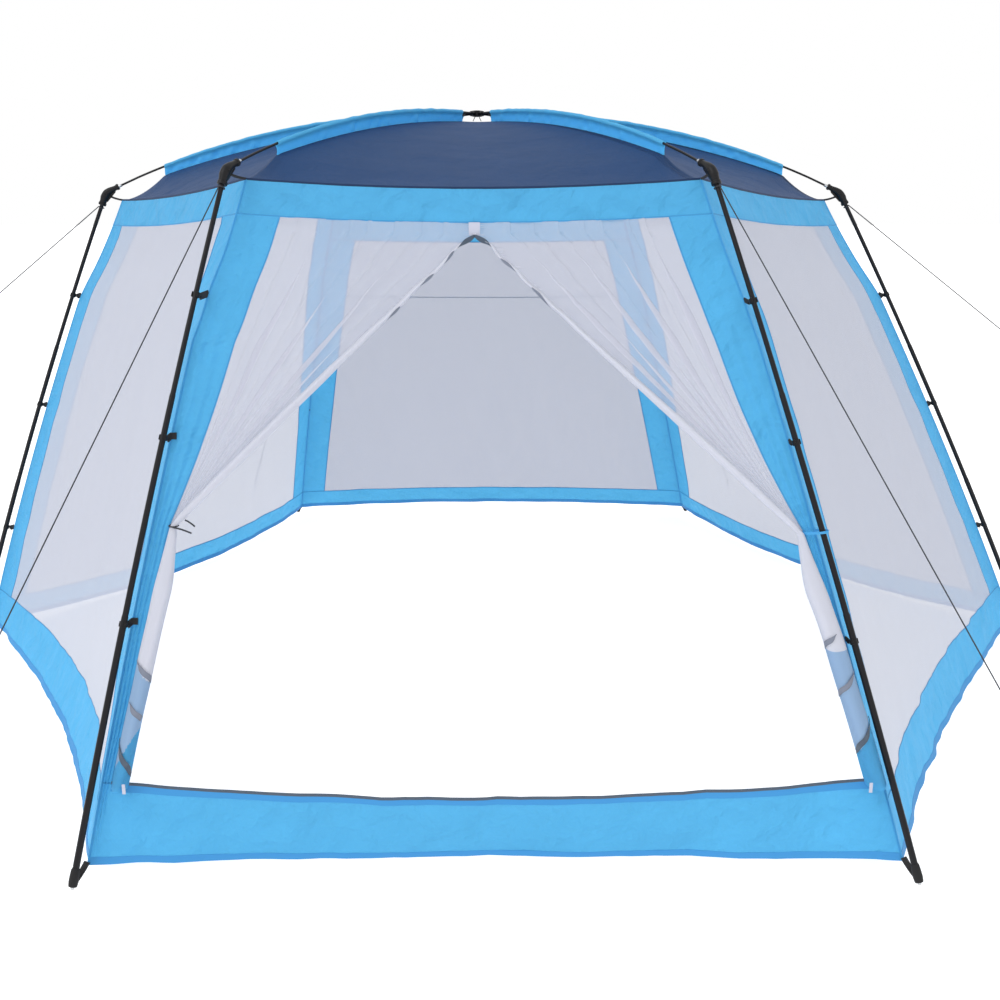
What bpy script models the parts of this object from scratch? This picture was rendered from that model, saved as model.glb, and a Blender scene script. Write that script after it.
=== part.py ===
"""Six-sided screened pool tent: a light frame with a cloth tent hung inside it.

Metres, +Z up. The origin is on the ground at the middle of the six feet. The front,
with the doorway, faces -Y. Corners are numbered from +X, turning towards +Y, and wall k
spans corner k to corner k + 1.
"""

from math import cos, pi, radians, sin, tan

import bmesh
import bpy
from mathutils import Vector

# Corners and walls
CORNERS = ("right", "back_right", "back_left", "left", "front_left", "front_right")
WALLS = ("back_right", "back", "back_left", "front_left", "front", "front_right")
CORNER_ANGLE = 60.0
FRONT = WALLS.index("front")

# Frame: feet, corner connectors and hub
FOOT_REACH = {"left": 2.50}
FOOT_REACH_OTHERS = 2.60
CONNECTOR_RADIUS = 1.61
SIDE_CONNECTOR_RADIUS = 1.635
CONNECTOR_HEIGHT = 2.145
SIDE_CORNER_DROP = 0.075
CONNECTOR_LEAN = -0.086
LEG_BOW = 0.026
HUB_HEIGHT = 2.405
HUB_LEAN = -0.071

# Legs, feet and hooks
LEG_TUBE_RADIUS = 0.0095
FOOT_RADII = ((0.0, 0.017), (0.012, 0.016), (0.026, 0.014), (0.036, 0.011))
FOOT_STRAP_WIDTH = 0.026
HOOK_RADIUS = 0.0135
HOOK_LENGTH = 0.016
HOOK_STRAP_WIDTH = 0.012
STRAP_THICKNESS = 0.003
HOOK_HEIGHTS = (1.72, 1.29, 0.74)
SIDE_HOOK_HEIGHTS = (1.62, 1.12, 0.53)

# Corner elbows and hub
ELBOW_RADIUS = 0.018
ELBOW_SHOULDER = 0.020
ELBOW_LEG_ARM = 0.058
ELBOW_LEG_ARM_RADIUS = 0.0145
ELBOW_ROD_ARM = 0.062
ELBOW_ROD_ARM_RADIUS = 0.0115
EAVE_STRAP_WIDTH = 0.013
HUB_RADIUS = 0.024
HUB_THICKNESS = 0.026
HUB_ARM = 0.052
HUB_ARM_RADIUS = 0.009
HUB_STRAP_RADIUS = 0.009

# Roof rods, as fractions of the way from the hub to a connector
ROD_RADIUS = 0.0045
ROD_BOW_POWER = 2.3
SLEEVE_STATIONS = (0.08, 0.24, 0.40, 0.54, 0.67, 0.77, 0.857)
SLEEVE_END = SLEEVE_STATIONS[-1]
ROD_END_FRACTION = 0.91

# Roof canopy and rod sleeves
WEB_DEPTH = 0.050
SLEEVE_RADIUS = 0.0085
SLEEVE_BORE_RADIUS = 0.0056
SLEEVE_ANGLES = (-54.0, -10.0, 34.0, 90.0, 146.0, 190.0, 234.0)
SLEEVE_WEB_ANGLES = (258.0, 282.0)
WEB_THICKNESS = 0.004
EAVE_DROP = 0.033
EAVE_INSET = 0.070
EAVE_SAG = {"front": 0.030}
EAVE_SAG_OTHERS = 0.018
SCOOP_STATIONS = (0.35, 0.7, 1.0)
SCOOP_POWER = 1.7
GORE_POWER = 1.6

# Walls, as fractions of the way from eave to hem
CLOTH_THICKNESS = 0.003
HEADER_ROW = 0.055
BACK_HEADER_ROW = 0.145
SILL_ROW = 0.885
SIDE_SKIRT_ROW = 0.915
BACK_SKIRT_ROW = 0.945
TIE_ROW = 0.52
WALL_ROWS = (0.0, HEADER_ROW, BACK_HEADER_ROW, 0.25, 0.385, TIE_ROW, 0.61, 0.75,
             SILL_ROW, SIDE_SKIRT_ROW, BACK_SKIRT_ROW, 1.0)
SKIRT_ROWS = {"front": SILL_ROW, "front_left": SIDE_SKIRT_ROW, "front_right": SIDE_SKIRT_ROW,
              "back_left": BACK_SKIRT_ROW, "back_right": BACK_SKIRT_ROW, "back": BACK_SKIRT_ROW}
SILL_SAG = 0.045
SILL_SAG_POWER = 3
STRIP_WIDTH = 0.145
TIED_STRIP_WIDTH = 0.040
HALF_COLUMNS = 3
WALL_SLANT = 1.15
SEAM_OFFSET = 0.036
SEAM_FLARE_HEIGHT = 1.60
HEM_OFFSET = 0.050
HEM_CORNER_HEIGHT = 0.050
HEM_MIDDLE_HEIGHT = {"back": 0.100}
HEM_MIDDLE_HEIGHT_OTHERS = 0.008
SKIRT_BOW = {"front": 0.0, "front_left": 0.155, "front_right": 0.08,
             "back_left": 0.142, "back_right": 0.142, "back": 0.047}
HEM_BOW = {"front": 0.11, "front_left": 0.11, "front_right": 0.065,
           "back_left": 0.15, "back_right": 0.15, "back": 0.05}

# Door flaps, tied back to the front legs
FLAP_TIE_WIDTH = 0.040
FLAP_TIE_THICKNESS = 0.030
FLAP_FOOT_WIDTH = 0.045
FLAP_FOOT_THICKNESS = 0.034

# Guy lines and the parts of their pegs above the ground
GUY_THICKNESS = 0.0035
GUY_LOOP_RADIUS = 0.0099
GUY_LOOP_THICKNESS = 0.0035
GUY_LOOP_LENGTH = 0.006
GUY_LOOP_DISTANCE = 0.070
GUY_TAPER = 0.010
PEG_RADIUS = 0.004
PEG_HEIGHT = 0.040
PEG_TIE_HEIGHTS = (0.022, 0.030)
PEG_REACH = 3.45
SIDE_PEG_REACH = 4.25

# Clearances between touching pieces
GAP = 0.0003
EAVE_GAP = 0.0010
SEAM_REACH = 0.0010

# Facets of round pieces
ROD_SIDES = 6
TUBE_SIDES = 8
FITTING_SIDES = 12

# Colours: red, green, blue, then roughness and metallic value
FINISHES = {
    "roof_cloth": ((0.052, 0.092, 0.235), 0.62, 0.0),
    "trim_cloth": ((0.105, 0.500, 0.870), 0.60, 0.0),
    "net": ((0.700, 0.715, 0.790), 0.80, 0.0),
    "black_steel": ((0.020, 0.020, 0.022), 0.38, 0.6),
    "black_rod": ((0.016, 0.016, 0.018), 0.32, 0.0),
    "black_plastic": ((0.014, 0.014, 0.015), 0.45, 0.0),
    "cord": ((0.045, 0.048, 0.055), 0.75, 0.0),
}


# Places on the frame

def outward(corner):
    """Unit vector from the middle towards a corner."""
    angle = radians(CORNER_ANGLE * corner)
    return Vector((cos(angle), sin(angle), 0.0))


def is_side(corner):
    """True for the left and right corners, which stand a little lower."""
    return CORNERS[corner % len(CORNERS)] in ("left", "right")


def foot(corner):
    return outward(corner) * FOOT_REACH.get(CORNERS[corner % len(CORNERS)], FOOT_REACH_OTHERS)


def connector(corner):
    """Where the lines of a leg and a roof rod meet."""
    drop = SIDE_CORNER_DROP if is_side(corner) else 0.0
    radius = SIDE_CONNECTOR_RADIUS if is_side(corner) else CONNECTOR_RADIUS
    return outward(corner) * radius + Vector((CONNECTOR_LEAN, 0.0, CONNECTOR_HEIGHT - drop))


def hub():
    return Vector((HUB_LEAN, 0.0, HUB_HEIGHT))


def rod_point(corner, fraction):
    """The middle of a roof rod, which bows upward between the hub and the corner."""
    end = connector(corner)
    point = hub().lerp(end, fraction)
    point.z = HUB_HEIGHT - (HUB_HEIGHT - end.z) * fraction ** ROD_BOW_POWER
    return point


def on_leg(corner, height):
    """A place on a leg, which bows outward a little under the load of the roof."""
    top = connector(corner)
    share = height / top.z
    return foot(corner).lerp(top, share) + outward(corner) * LEG_BOW * 4.0 * share * (1.0 - share)


def hook_heights(corner):
    return SIDE_HOOK_HEIGHTS if is_side(corner) else HOOK_HEIGHTS


def leg_direction(corner):
    """Unit vector down the top of a leg, from its connector to its first hook."""
    return (on_leg(corner, hook_heights(corner)[0]) - connector(corner)).normalized()


# Places on the cloth

def seam_offset(corner, height):
    """How far the corner seam of the walls hangs inside the leg's line."""
    eave = connector(corner).z - EAVE_DROP
    at_eave = EAVE_INSET + (on_leg(corner, eave) - connector(corner)).dot(outward(corner))
    flare = max(0.0, (height - SEAM_FLARE_HEIGHT) / (eave - SEAM_FLARE_HEIGHT)) ** 1.5
    low = max(0.0, 1.0 - height / SEAM_FLARE_HEIGHT) ** 3
    return SEAM_OFFSET + (at_eave - SEAM_OFFSET) * flare + (HEM_OFFSET - SEAM_OFFSET) * low


def seam_point(corner, row):
    """The seam where two walls meet, from the eave corner (row 0) to the hem (row 1)."""
    eave = connector(corner).z - EAVE_DROP
    height = eave + (HEM_CORNER_HEIGHT - eave) * row
    return on_leg(corner, height) - outward(corner) * seam_offset(corner, height)


def seam_at_height(corner, height):
    """A place on the seam as the faceted walls have it, and the seam's direction there."""
    points = [seam_point(corner, row) for row in WALL_ROWS]
    for upper, lower in zip(points, points[1:]):
        if lower.z <= height:
            break
    spot = lower.lerp(upper, (height - lower.z) / (upper.z - lower.z))
    return spot, (upper - lower).normalized()


def wall_bow(wall, row):
    """How far the middle of a wall is drawn inward at a row."""
    skirt = SKIRT_ROWS[WALLS[wall]]
    at_skirt = SKIRT_BOW[WALLS[wall]]
    if row <= skirt:
        return at_skirt * row / skirt
    return at_skirt + (HEM_BOW[WALLS[wall]] - at_skirt) * (row - skirt) / (1.0 - skirt)


def eave_sag(wall):
    return EAVE_SAG.get(WALLS[wall], EAVE_SAG_OTHERS)


def wall_length(wall, row):
    return (seam_point(wall + 1, row) - seam_point(wall, row)).length


def wall_point(wall, across, row):
    """A point on a wall: across runs from corner to corner, row from eave to hem."""
    point = seam_point(wall, row).lerp(seam_point(wall + 1, row), across)
    middle = 4.0 * across * (1.0 - across)
    inward = -(outward(wall) + outward(wall + 1)).normalized()
    hem = HEM_MIDDLE_HEIGHT.get(WALLS[wall], HEM_MIDDLE_HEIGHT_OTHERS)
    in_skirt = max(0.0, (row - SKIRT_ROWS[WALLS[wall]]) / (1.0 - SKIRT_ROWS[WALLS[wall]]))
    if wall == FRONT:
        point.z -= SILL_SAG * (1.0 - in_skirt) * row ** SILL_SAG_POWER * middle
    point += inward * wall_bow(wall, row) * middle
    point.z -= eave_sag(wall) * (1.0 - row) * middle
    point.z += (hem - HEM_CORNER_HEIGHT) * row ** 3 * middle
    return point


def header_row(wall):
    """Where a wall's header ends; it is deeper on the back wall."""
    return BACK_HEADER_ROW if WALLS[wall] == "back" else HEADER_ROW


def strip_width(wall, row):
    """Width of the corner strips, which the tied door pulls narrow on the front wall."""
    if wall != FRONT or row <= HEADER_ROW:
        return STRIP_WIDTH
    pull = min(1.0, (row - HEADER_ROW) / (TIE_ROW - HEADER_ROW))
    return STRIP_WIDTH + (TIED_STRIP_WIDTH - STRIP_WIDTH) * pull


def seam_inset(wall, row):
    """How far a wall stops short of the seam's line, so that two walls meet edge to edge."""
    strip = strip_width(wall, row) / wall_length(wall, row)
    along = wall_point(wall, strip, row) - wall_point(wall, 0.0, row)
    angle = along.angle(-outward(wall))
    return CLOTH_THICKNESS / 2.0 * WALL_SLANT / tan(angle) + GAP


def wall_columns(wall, row):
    """Places across a wall: seam, strip edge, the stretch between, strip edge, seam."""
    length = wall_length(wall, row)
    edge = seam_inset(wall, row) / length
    strip = strip_width(wall, row) / length
    steps = 2 * HALF_COLUMNS
    inner = [strip + (1.0 - 2.0 * strip) * step / steps for step in range(steps + 1)]
    return [edge] + inner + [1.0 - edge]


def between_columns(wall, across, row):
    """A point on a wall as its border has it, straight from one column to the next."""
    columns = wall_columns(wall, row)
    for start, end in zip(columns, columns[1:]):
        if across <= end:
            break
    share = (across - start) / (end - start)
    return wall_point(wall, start, row).lerp(wall_point(wall, end, row), share)


def rib_point(corner, station):
    """The roof's seam under a rod; past station 1 it scoops down to the eave corner."""
    if station <= 1.0:
        point = rod_point(corner, station * SLEEVE_END)
        point.z -= WEB_DEPTH
        return point
    start = rod_point(corner, SLEEVE_END) - Vector((0.0, 0.0, WEB_DEPTH))
    end = seam_point(corner, 0.0)
    point = start.lerp(end, station - 1.0)
    point.z = end.z + (start.z - end.z) * (2.0 - station) ** SCOOP_POWER
    return point


def roof_point(wall, across, station):
    """A point on the roof: lower between the ribs than on them."""
    point = rib_point(wall, station).lerp(rib_point(wall + 1, station), across)
    middle = 4.0 * across * (1.0 - across)
    eave = seam_point(wall, 0.0).lerp(seam_point(wall + 1, 0.0), across).z - eave_sag(wall)
    apex = HUB_HEIGHT - WEB_DEPTH
    share = roof_share(wall, station)
    valley = apex - (apex - eave) * share ** GORE_POWER
    point.z += (valley - point.z) * middle
    return point


def roof_share(wall, station):
    """How far from the roof's centre to its eave a station lies, seen from above."""
    centre = hub()
    here = (rib_point(wall, station) - centre).xy.length
    return here / (rib_point(wall, 2.0) - centre).xy.length


# Making solids

def finish_mesh(name, mesh_data):
    mesh = bpy.data.meshes.new(name)
    mesh_data.normal_update()
    bmesh.ops.recalc_face_normals(mesh_data, faces=mesh_data.faces)
    mesh_data.to_mesh(mesh)
    mesh_data.free()
    return mesh


def sheet_mesh(name, grid, thickness, keep):
    """A closed sheet round a grid of points. keep(row, column) says which cells are cloth."""
    rows, columns = len(grid), len(grid[0])
    sheet = bmesh.new()
    sides = ({}, {})

    def corner_vertex(side, row, column):
        if (row, column) not in sides[side]:
            down = grid[min(row + 1, rows - 1)][column] - grid[max(row - 1, 0)][column]
            along = grid[row][min(column + 1, columns - 1)] - grid[row][max(column - 1, 0)]
            normal = down.cross(along).normalized()
            reach = thickness[row] * (0.5 if side else -0.5)
            sides[side][row, column] = sheet.verts.new(grid[row][column] + normal * reach)
        return sides[side][row, column]

    def triangles(corners):
        sheet.faces.new((corners[0], corners[1], corners[2]))
        sheet.faces.new((corners[0], corners[2], corners[3]))

    def cloth(row, column):
        return 0 <= row < rows - 1 and 0 <= column < columns - 1 and keep(row, column)

    for row in range(rows - 1):
        for column in range(columns - 1):
            if not cloth(row, column):
                continue
            around = ((row, column), (row, column + 1), (row + 1, column + 1), (row + 1, column))
            for side in (0, 1):
                triangles([corner_vertex(side, *spot) for spot in around])
            beyond = ((row - 1, column), (row, column + 1), (row + 1, column), (row, column - 1))
            for index, neighbour in enumerate(beyond):
                if not cloth(*neighbour):
                    first, second = around[index], around[(index + 1) % 4]
                    triangles([corner_vertex(0, *first), corner_vertex(0, *second),
                               corner_vertex(1, *second), corner_vertex(1, *first)])
    return finish_mesh(name, sheet)


class Solid:
    """A closed body built from loops of points, skinned together and capped."""

    def __init__(self):
        self.data = bmesh.new()

    def loop(self, points):
        return [self.data.verts.new(point) for point in points]

    def skin(self, first, second, leave_open=None):
        """Triangles between two loops; one facet can be left open, and its corners come back."""
        count = len(first)
        for side in range(count):
            after = (side + 1) % count
            if side != leave_open:
                self.data.faces.new((first[side], first[after], second[after]))
                self.data.faces.new((first[side], second[after], second[side]))
        if leave_open is None:
            return None
        after = (leave_open + 1) % count
        return [first[leave_open], first[after], second[after], second[leave_open]]

    def skin_all(self, loops):
        for first, second in zip(loops, loops[1:]):
            self.skin(first, second)

    def cap(self, loop):
        self.data.faces.new(loop)

    def strap(self, opening, ends):
        """A flat strap out of an open facet, through four-cornered loops, with a closed end."""
        loops = [opening] + [self.loop(end) for end in ends]
        self.skin_all(loops)
        self.cap(loops[-1])

    def mesh(self, name):
        return finish_mesh(name, self.data)


def circle(centre, axis, radius, sides, facing=None):
    """A loop of points round an axis. Its first facet looks along facing."""
    if facing is None:
        facing = axis.orthogonal()
    across = (facing - axis * facing.dot(axis) / axis.length_squared).normalized()
    around = axis.normalized().cross(across)
    angles = [2.0 * pi * (side - 0.5) / sides for side in range(sides)]
    return [centre + across * cos(angle) * radius + around * sin(angle) * radius for angle in angles]


def flat_end(centre, along, side, width, thickness):
    """The four corners of a strap's cross-section, in the order of a circle's first facet."""
    across = (side - along * side.dot(along)).normalized() * width / 2.0
    up = along.cross(across).normalized() * thickness / 2.0
    return [centre - across - up, centre + across - up, centre + across + up, centre - across + up]


def round_bar(name, ends, radius, sides, facing=None):
    """A round bar between two points."""
    axis = (ends[1] - ends[0]).normalized()
    bar = Solid()
    loops = [bar.loop(circle(end, axis, radius, sides, facing)) for end in ends]
    bar.skin_all(loops)
    bar.cap(loops[0])
    bar.cap(loops[1])
    return bar.mesh(name)


def union(name, meshes):
    """One mesh out of several overlapping ones."""
    pieces = [bpy.data.objects.new(name, mesh) for mesh in meshes]
    for piece in pieces:
        bpy.context.scene.collection.objects.link(piece)
    for piece in pieces[1:]:
        joint = pieces[0].modifiers.new("join", "BOOLEAN")
        joint.operation = "UNION"
        joint.object = piece
    evaluated = pieces[0].evaluated_get(bpy.context.evaluated_depsgraph_get())
    mesh = bpy.data.meshes.new_from_object(evaluated)
    for piece in pieces:
        bpy.data.objects.remove(piece)
    return mesh


def material(finish):
    """The material of a finish, made the first time it is asked for."""
    if finish in bpy.data.materials:
        return bpy.data.materials[finish]
    colour, roughness, metallic = FINISHES[finish]
    made = bpy.data.materials.new(finish)
    made.use_nodes = True
    shader = made.node_tree.nodes["Principled BSDF"]
    shader.inputs["Base Color"].default_value = (*colour, 1.0)
    shader.inputs["Roughness"].default_value = roughness
    shader.inputs["Metallic"].default_value = metallic
    return made


def place(name, mesh, finish, smooth=False):
    """Put a finished mesh into the scene as one named part."""
    mesh.name = name
    mesh.materials.clear()
    mesh.materials.append(material(finish))
    if smooth:
        mesh.shade_smooth()
        mesh.set_sharp_from_angle(angle=radians(35.0))
    part = bpy.data.objects.new(name, mesh)
    bpy.context.scene.collection.objects.link(part)


# The frame's pieces

def make_hub():
    """A thick disc with six short arms and a strap down to the roof's centre."""
    centre = hub()
    up = Vector((0.0, 0.0, HUB_THICKNESS / 2.0))
    meshes = [round_bar("body", (centre - up, centre + up), HUB_RADIUS, FITTING_SIDES, outward(0))]
    for corner in range(len(CORNERS)):
        direction = (rod_point(corner, SLEEVE_STATIONS[0]) - centre).normalized()
        ends = (centre + direction * HUB_RADIUS / 2.0, centre + direction * HUB_ARM)
        meshes.append(round_bar("arm", ends, HUB_ARM_RADIUS, TUBE_SIDES, Vector((0.0, 0.0, 1.0))))
    strap_end = Vector((centre.x, centre.y, HUB_HEIGHT - WEB_DEPTH + CLOTH_THICKNESS + GAP))
    meshes.append(round_bar("strap", (centre, strap_end), HUB_STRAP_RADIUS, TUBE_SIDES, outward(0)))
    place("hub", union("hub", meshes), "black_plastic", smooth=True)


def rod_arm_direction(corner):
    """Unit vector from a connector towards its roof rod."""
    return (rod_point(corner, ROD_END_FRACTION) - connector(corner)).normalized()


def make_roof_rod(corner):
    """A thin rod from the hub's arm to the elbow's arm."""
    centre = hub()
    first = rod_point(corner, SLEEVE_STATIONS[0])
    start = centre + (first - centre).normalized() * (HUB_ARM + GAP)
    last = rod_point(corner, ROD_END_FRACTION)
    end = connector(corner) + rod_arm_direction(corner) * (ELBOW_ROD_ARM + GAP)
    points = [start] + [rod_point(corner, station) for station in SLEEVE_STATIONS] + [last, end]
    rod = Solid()
    loops = []
    for index, point in enumerate(points):
        along = points[min(index + 1, len(points) - 1)] - points[max(index - 1, 0)]
        loops.append(rod.loop(circle(point, along, ROD_RADIUS, ROD_SIDES, Vector((0.0, 0.0, 1.0)))))
    rod.skin_all(loops)
    rod.cap(loops[0])
    rod.cap(loops[-1])
    place(f"roof_rod_{CORNERS[corner]}", rod.mesh("rod"), "black_rod", smooth=True)


def make_elbow(corner):
    """A moulded elbow with an arm to the leg, an arm to the rod and a strap to the eave."""
    centre = connector(corner)
    down = leg_direction(corner)
    towards_rod = rod_arm_direction(corner)
    inward = -outward(corner)
    profile = (
        (centre + down * ELBOW_LEG_ARM, -down, ELBOW_LEG_ARM_RADIUS),
        (centre + down * ELBOW_SHOULDER, -down, ELBOW_RADIUS),
        (centre, towards_rod - down, ELBOW_RADIUS),
        (centre + towards_rod * ELBOW_SHOULDER, towards_rod, ELBOW_RADIUS),
        (centre + towards_rod * ELBOW_ROD_ARM, towards_rod, ELBOW_ROD_ARM_RADIUS),
    )
    elbow = Solid()
    loops = [elbow.loop(circle(spot, axis, radius, FITTING_SIDES, inward + down))
             for spot, axis, radius in profile]
    opening = elbow.skin(loops[0], loops[1], leave_open=0)
    elbow.skin_all(loops[1:])
    elbow.cap(loops[0])
    elbow.cap(loops[-1])
    eave = seam_point(corner, 0.0)
    middle = sum((vertex.co for vertex in opening), Vector()) / 4.0
    along = (eave - middle).normalized()
    side = opening[1].co - opening[0].co
    ends = [flat_end(eave - along * reach, along, side, EAVE_STRAP_WIDTH, STRAP_THICKNESS)
            for reach in (EAVE_STRAP_WIDTH, CLOTH_THICKNESS)]
    elbow.strap(opening, ends)
    place(f"corner_elbow_{CORNERS[corner]}", elbow.mesh("elbow"), "black_plastic", smooth=True)


def make_leg(corner):
    """A steel tube with a foot, three hooks for the wall and a strap to the hem corner."""
    inward = -outward(corner)
    up_leg = -leg_direction(corner)
    upright = Vector((0.0, 0.0, 1.0))
    leg = Solid()
    loops = [leg.loop(circle(foot(corner) + upright * height, upright, radius, TUBE_SIDES, inward))
             for height, radius in FOOT_RADII]
    leg.cap(loops[0])
    leg.skin(loops[0], loops[1])
    opening = leg.skin(loops[1], loops[2], leave_open=0)
    leg.skin(loops[2], loops[3])
    tip, _ = seam_at_height(corner, HEM_CORNER_HEIGHT)
    end = flat_end(tip - inward * SEAM_REACH, inward, opening[1].co - opening[0].co,
                   FOOT_STRAP_WIDTH, STRAP_THICKNESS)
    leg.strap(opening, [end])

    last = loops[3]
    for height in reversed(hook_heights(corner)):
        centre = on_leg(corner, height)
        ends = [centre - up_leg * HOOK_LENGTH / 2.0, centre + up_leg * HOOK_LENGTH / 2.0]
        below, above = [leg.loop(circle(end, up_leg, LEG_TUBE_RADIUS, TUBE_SIDES, inward)) for end in ends]
        low, high = [leg.loop(circle(end, up_leg, HOOK_RADIUS, TUBE_SIDES, inward)) for end in ends]
        leg.skin_all([last, below, low])
        opening = leg.skin(low, high, leave_open=0)
        leg.skin(high, above)
        tip, along_seam = seam_at_height(corner, height)
        into_cloth = (inward - along_seam * inward.dot(along_seam)).normalized()
        end = flat_end(tip - into_cloth * SEAM_REACH, into_cloth, opening[1].co - opening[0].co,
                       STRAP_THICKNESS, HOOK_STRAP_WIDTH)
        leg.strap(opening, [end])
        last = above
    end = connector(corner) - up_leg * (ELBOW_LEG_ARM + GAP)
    top = leg.loop(circle(end, up_leg, LEG_TUBE_RADIUS, TUBE_SIDES, inward))
    leg.skin(last, top)
    leg.cap(top)
    place(f"leg_{CORNERS[corner]}", leg.mesh("leg"), "black_steel", smooth=True)


def make_guy_line(corner):
    """A taut line from a loop round the leg's top to a peg, whose top shows above ground."""
    down = leg_direction(corner)
    upright = Vector((0.0, 0.0, 1.0))
    reach = SIDE_PEG_REACH if is_side(corner) else PEG_REACH
    peg = outward(corner) * reach
    loop = connector(corner) + down * GUY_LOOP_DISTANCE
    guy = Solid()
    ends = [loop - down * GUY_LOOP_LENGTH / 2.0, loop + down * GUY_LOOP_LENGTH / 2.0]
    outer_radius = GUY_LOOP_RADIUS + GUY_LOOP_THICKNESS
    outer = [guy.loop(circle(end, down, outer_radius, TUBE_SIDES, outward(corner))) for end in ends]
    inner = [guy.loop(circle(end, down, GUY_LOOP_RADIUS, TUBE_SIDES, outward(corner))) for end in ends]
    from_loop = guy.skin(outer[0], outer[1], leave_open=0)
    guy.skin(inner[0], inner[1])
    guy.skin(outer[0], inner[0])
    guy.skin(outer[1], inner[1])

    heights = (PEG_HEIGHT, *reversed(PEG_TIE_HEIGHTS), 0.0)
    stake = [guy.loop(circle(peg + upright * height, -upright, PEG_RADIUS, TUBE_SIDES, -outward(corner)))
             for height in heights]
    guy.cap(stake[0])
    guy.skin(stake[0], stake[1])
    to_peg = guy.skin(stake[1], stake[2], leave_open=0)
    guy.skin(stake[2], stake[3])
    guy.cap(stake[3])

    start, end = [sum((vertex.co for vertex in opening), Vector()) / 4.0 for opening in (from_loop, to_peg)]
    along = (end - start).normalized()
    side = from_loop[1].co - from_loop[0].co
    line = [guy.loop(flat_end(spot, along, side, GUY_THICKNESS, GUY_THICKNESS))
            for spot in (start + along * GUY_TAPER, end - along * GUY_TAPER)]
    peg_side = [to_peg[1], to_peg[0], to_peg[3], to_peg[2]]
    guy.skin_all([from_loop, *line, peg_side])
    place(f"guy_line_{CORNERS[corner]}", guy.mesh("guy_line"), "cord")


# The cloth pieces

def roof_stations():
    """The rows of the roof, from near the centre to the eave, as rib stations."""
    return [station / SLEEVE_END for station in SLEEVE_STATIONS] + [1.0 + step for step in SCOOP_STATIONS]


def make_roof_canopy():
    """One closed sheet of six gores, under the rods."""
    roof = Solid()
    apex = Vector((HUB_LEAN, 0.0, HUB_HEIGHT - WEB_DEPTH))
    rings = []
    for station in roof_stations():
        points = []
        for wall in range(len(WALLS)):
            across = [0.0] + wall_columns(wall, 0.0)[1:-1]
            points += [roof_point(wall, share, station) for share in across]
        rings.append(points)
    rims = []
    for lift in (Vector(), Vector((0.0, 0.0, CLOTH_THICKNESS))):
        loops = [roof.loop([point + lift for point in points]) for points in rings]
        centre = roof.loop([apex + lift])[0]
        for index, vertex in enumerate(loops[0]):
            roof.cap((centre, vertex, loops[0][(index + 1) % len(loops[0])]))
        roof.skin_all(loops)
        rims.append(loops[-1])
    roof.skin(rims[0], rims[1])
    place("roof_canopy", roof.mesh("roof"), "roof_cloth")


def make_rod_sleeve(corner):
    """A sleeve round the rod, with a web down to the roof's seam."""
    across = outward(corner).cross(Vector((0.0, 0.0, 1.0)))
    up = Vector((0.0, 0.0, 1.0))
    web_bottom = WEB_DEPTH - CLOTH_THICKNESS - GAP
    half = WEB_THICKNESS / 2.0
    outer_shape = [on_circle(angle, SLEEVE_RADIUS) for angle in SLEEVE_ANGLES]
    outer_shape += [(-half, -web_bottom), (half, -web_bottom)]
    inner_shape = [on_circle(angle, SLEEVE_BORE_RADIUS) for angle in SLEEVE_ANGLES + SLEEVE_WEB_ANGLES]
    sleeve = Solid()
    skins = []
    for shape in (outer_shape, inner_shape):
        loops = [sleeve.loop([rod_point(corner, station) + across * a + up * b for a, b in shape])
                 for station in SLEEVE_STATIONS]
        sleeve.skin_all(loops)
        skins.append(loops)
    sleeve.skin(skins[0][0], skins[1][0])
    sleeve.skin(skins[0][-1], skins[1][-1])
    place(f"rod_sleeve_{CORNERS[corner]}", sleeve.mesh("sleeve"), "trim_cloth", smooth=True)


def on_circle(angle, radius):
    return (cos(radians(angle)) * radius, sin(radians(angle)) * radius)


def wall_grid(wall, rows):
    return [[wall_point(wall, across, row) for across in wall_columns(wall, row)] for row in rows]


def make_wall_border(wall):
    """A frame of cloth: header, two corner strips and a skirt, or a sill at the front."""
    grid = wall_grid(wall, WALL_ROWS)
    for point in grid[0]:
        point.z -= EAVE_GAP
    last_column = len(grid[0]) - 2

    def keep(row, column):
        in_header = WALL_ROWS[row] < header_row(wall)
        in_skirt = WALL_ROWS[row] >= SKIRT_ROWS[WALLS[wall]]
        return in_header or in_skirt or column in (0, last_column)

    thickness = [CLOTH_THICKNESS] * len(WALL_ROWS)
    place(f"wall_border_{WALLS[wall]}", sheet_mesh("border", grid, thickness, keep), "trim_cloth")


def shrink(grid, amount):
    """Draw the rim of a grid in by a small amount, to clear what it is sewn to."""
    for points in grid:
        points[0] += (points[1] - points[0]).normalized() * amount
        points[-1] += (points[-2] - points[-1]).normalized() * amount
    for column in range(len(grid[0])):
        top, below = grid[0][column], grid[1][column]
        grid[0][column] = top + (below - top).normalized() * amount
        bottom, above = grid[-1][column], grid[-2][column]
        grid[-1][column] = bottom + (above - bottom).normalized() * amount


def make_wall_mesh(wall):
    """A net panel that fills its border."""
    rows = [row for row in WALL_ROWS if header_row(wall) <= row <= SKIRT_ROWS[WALLS[wall]]]
    grid = [points[1:-1] for points in wall_grid(wall, rows)]
    shrink(grid, GAP)
    thickness = [CLOTH_THICKNESS] * len(rows)
    place(f"wall_mesh_{WALLS[wall]}", sheet_mesh("net", grid, thickness, lambda row, column: True), "net")


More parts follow.
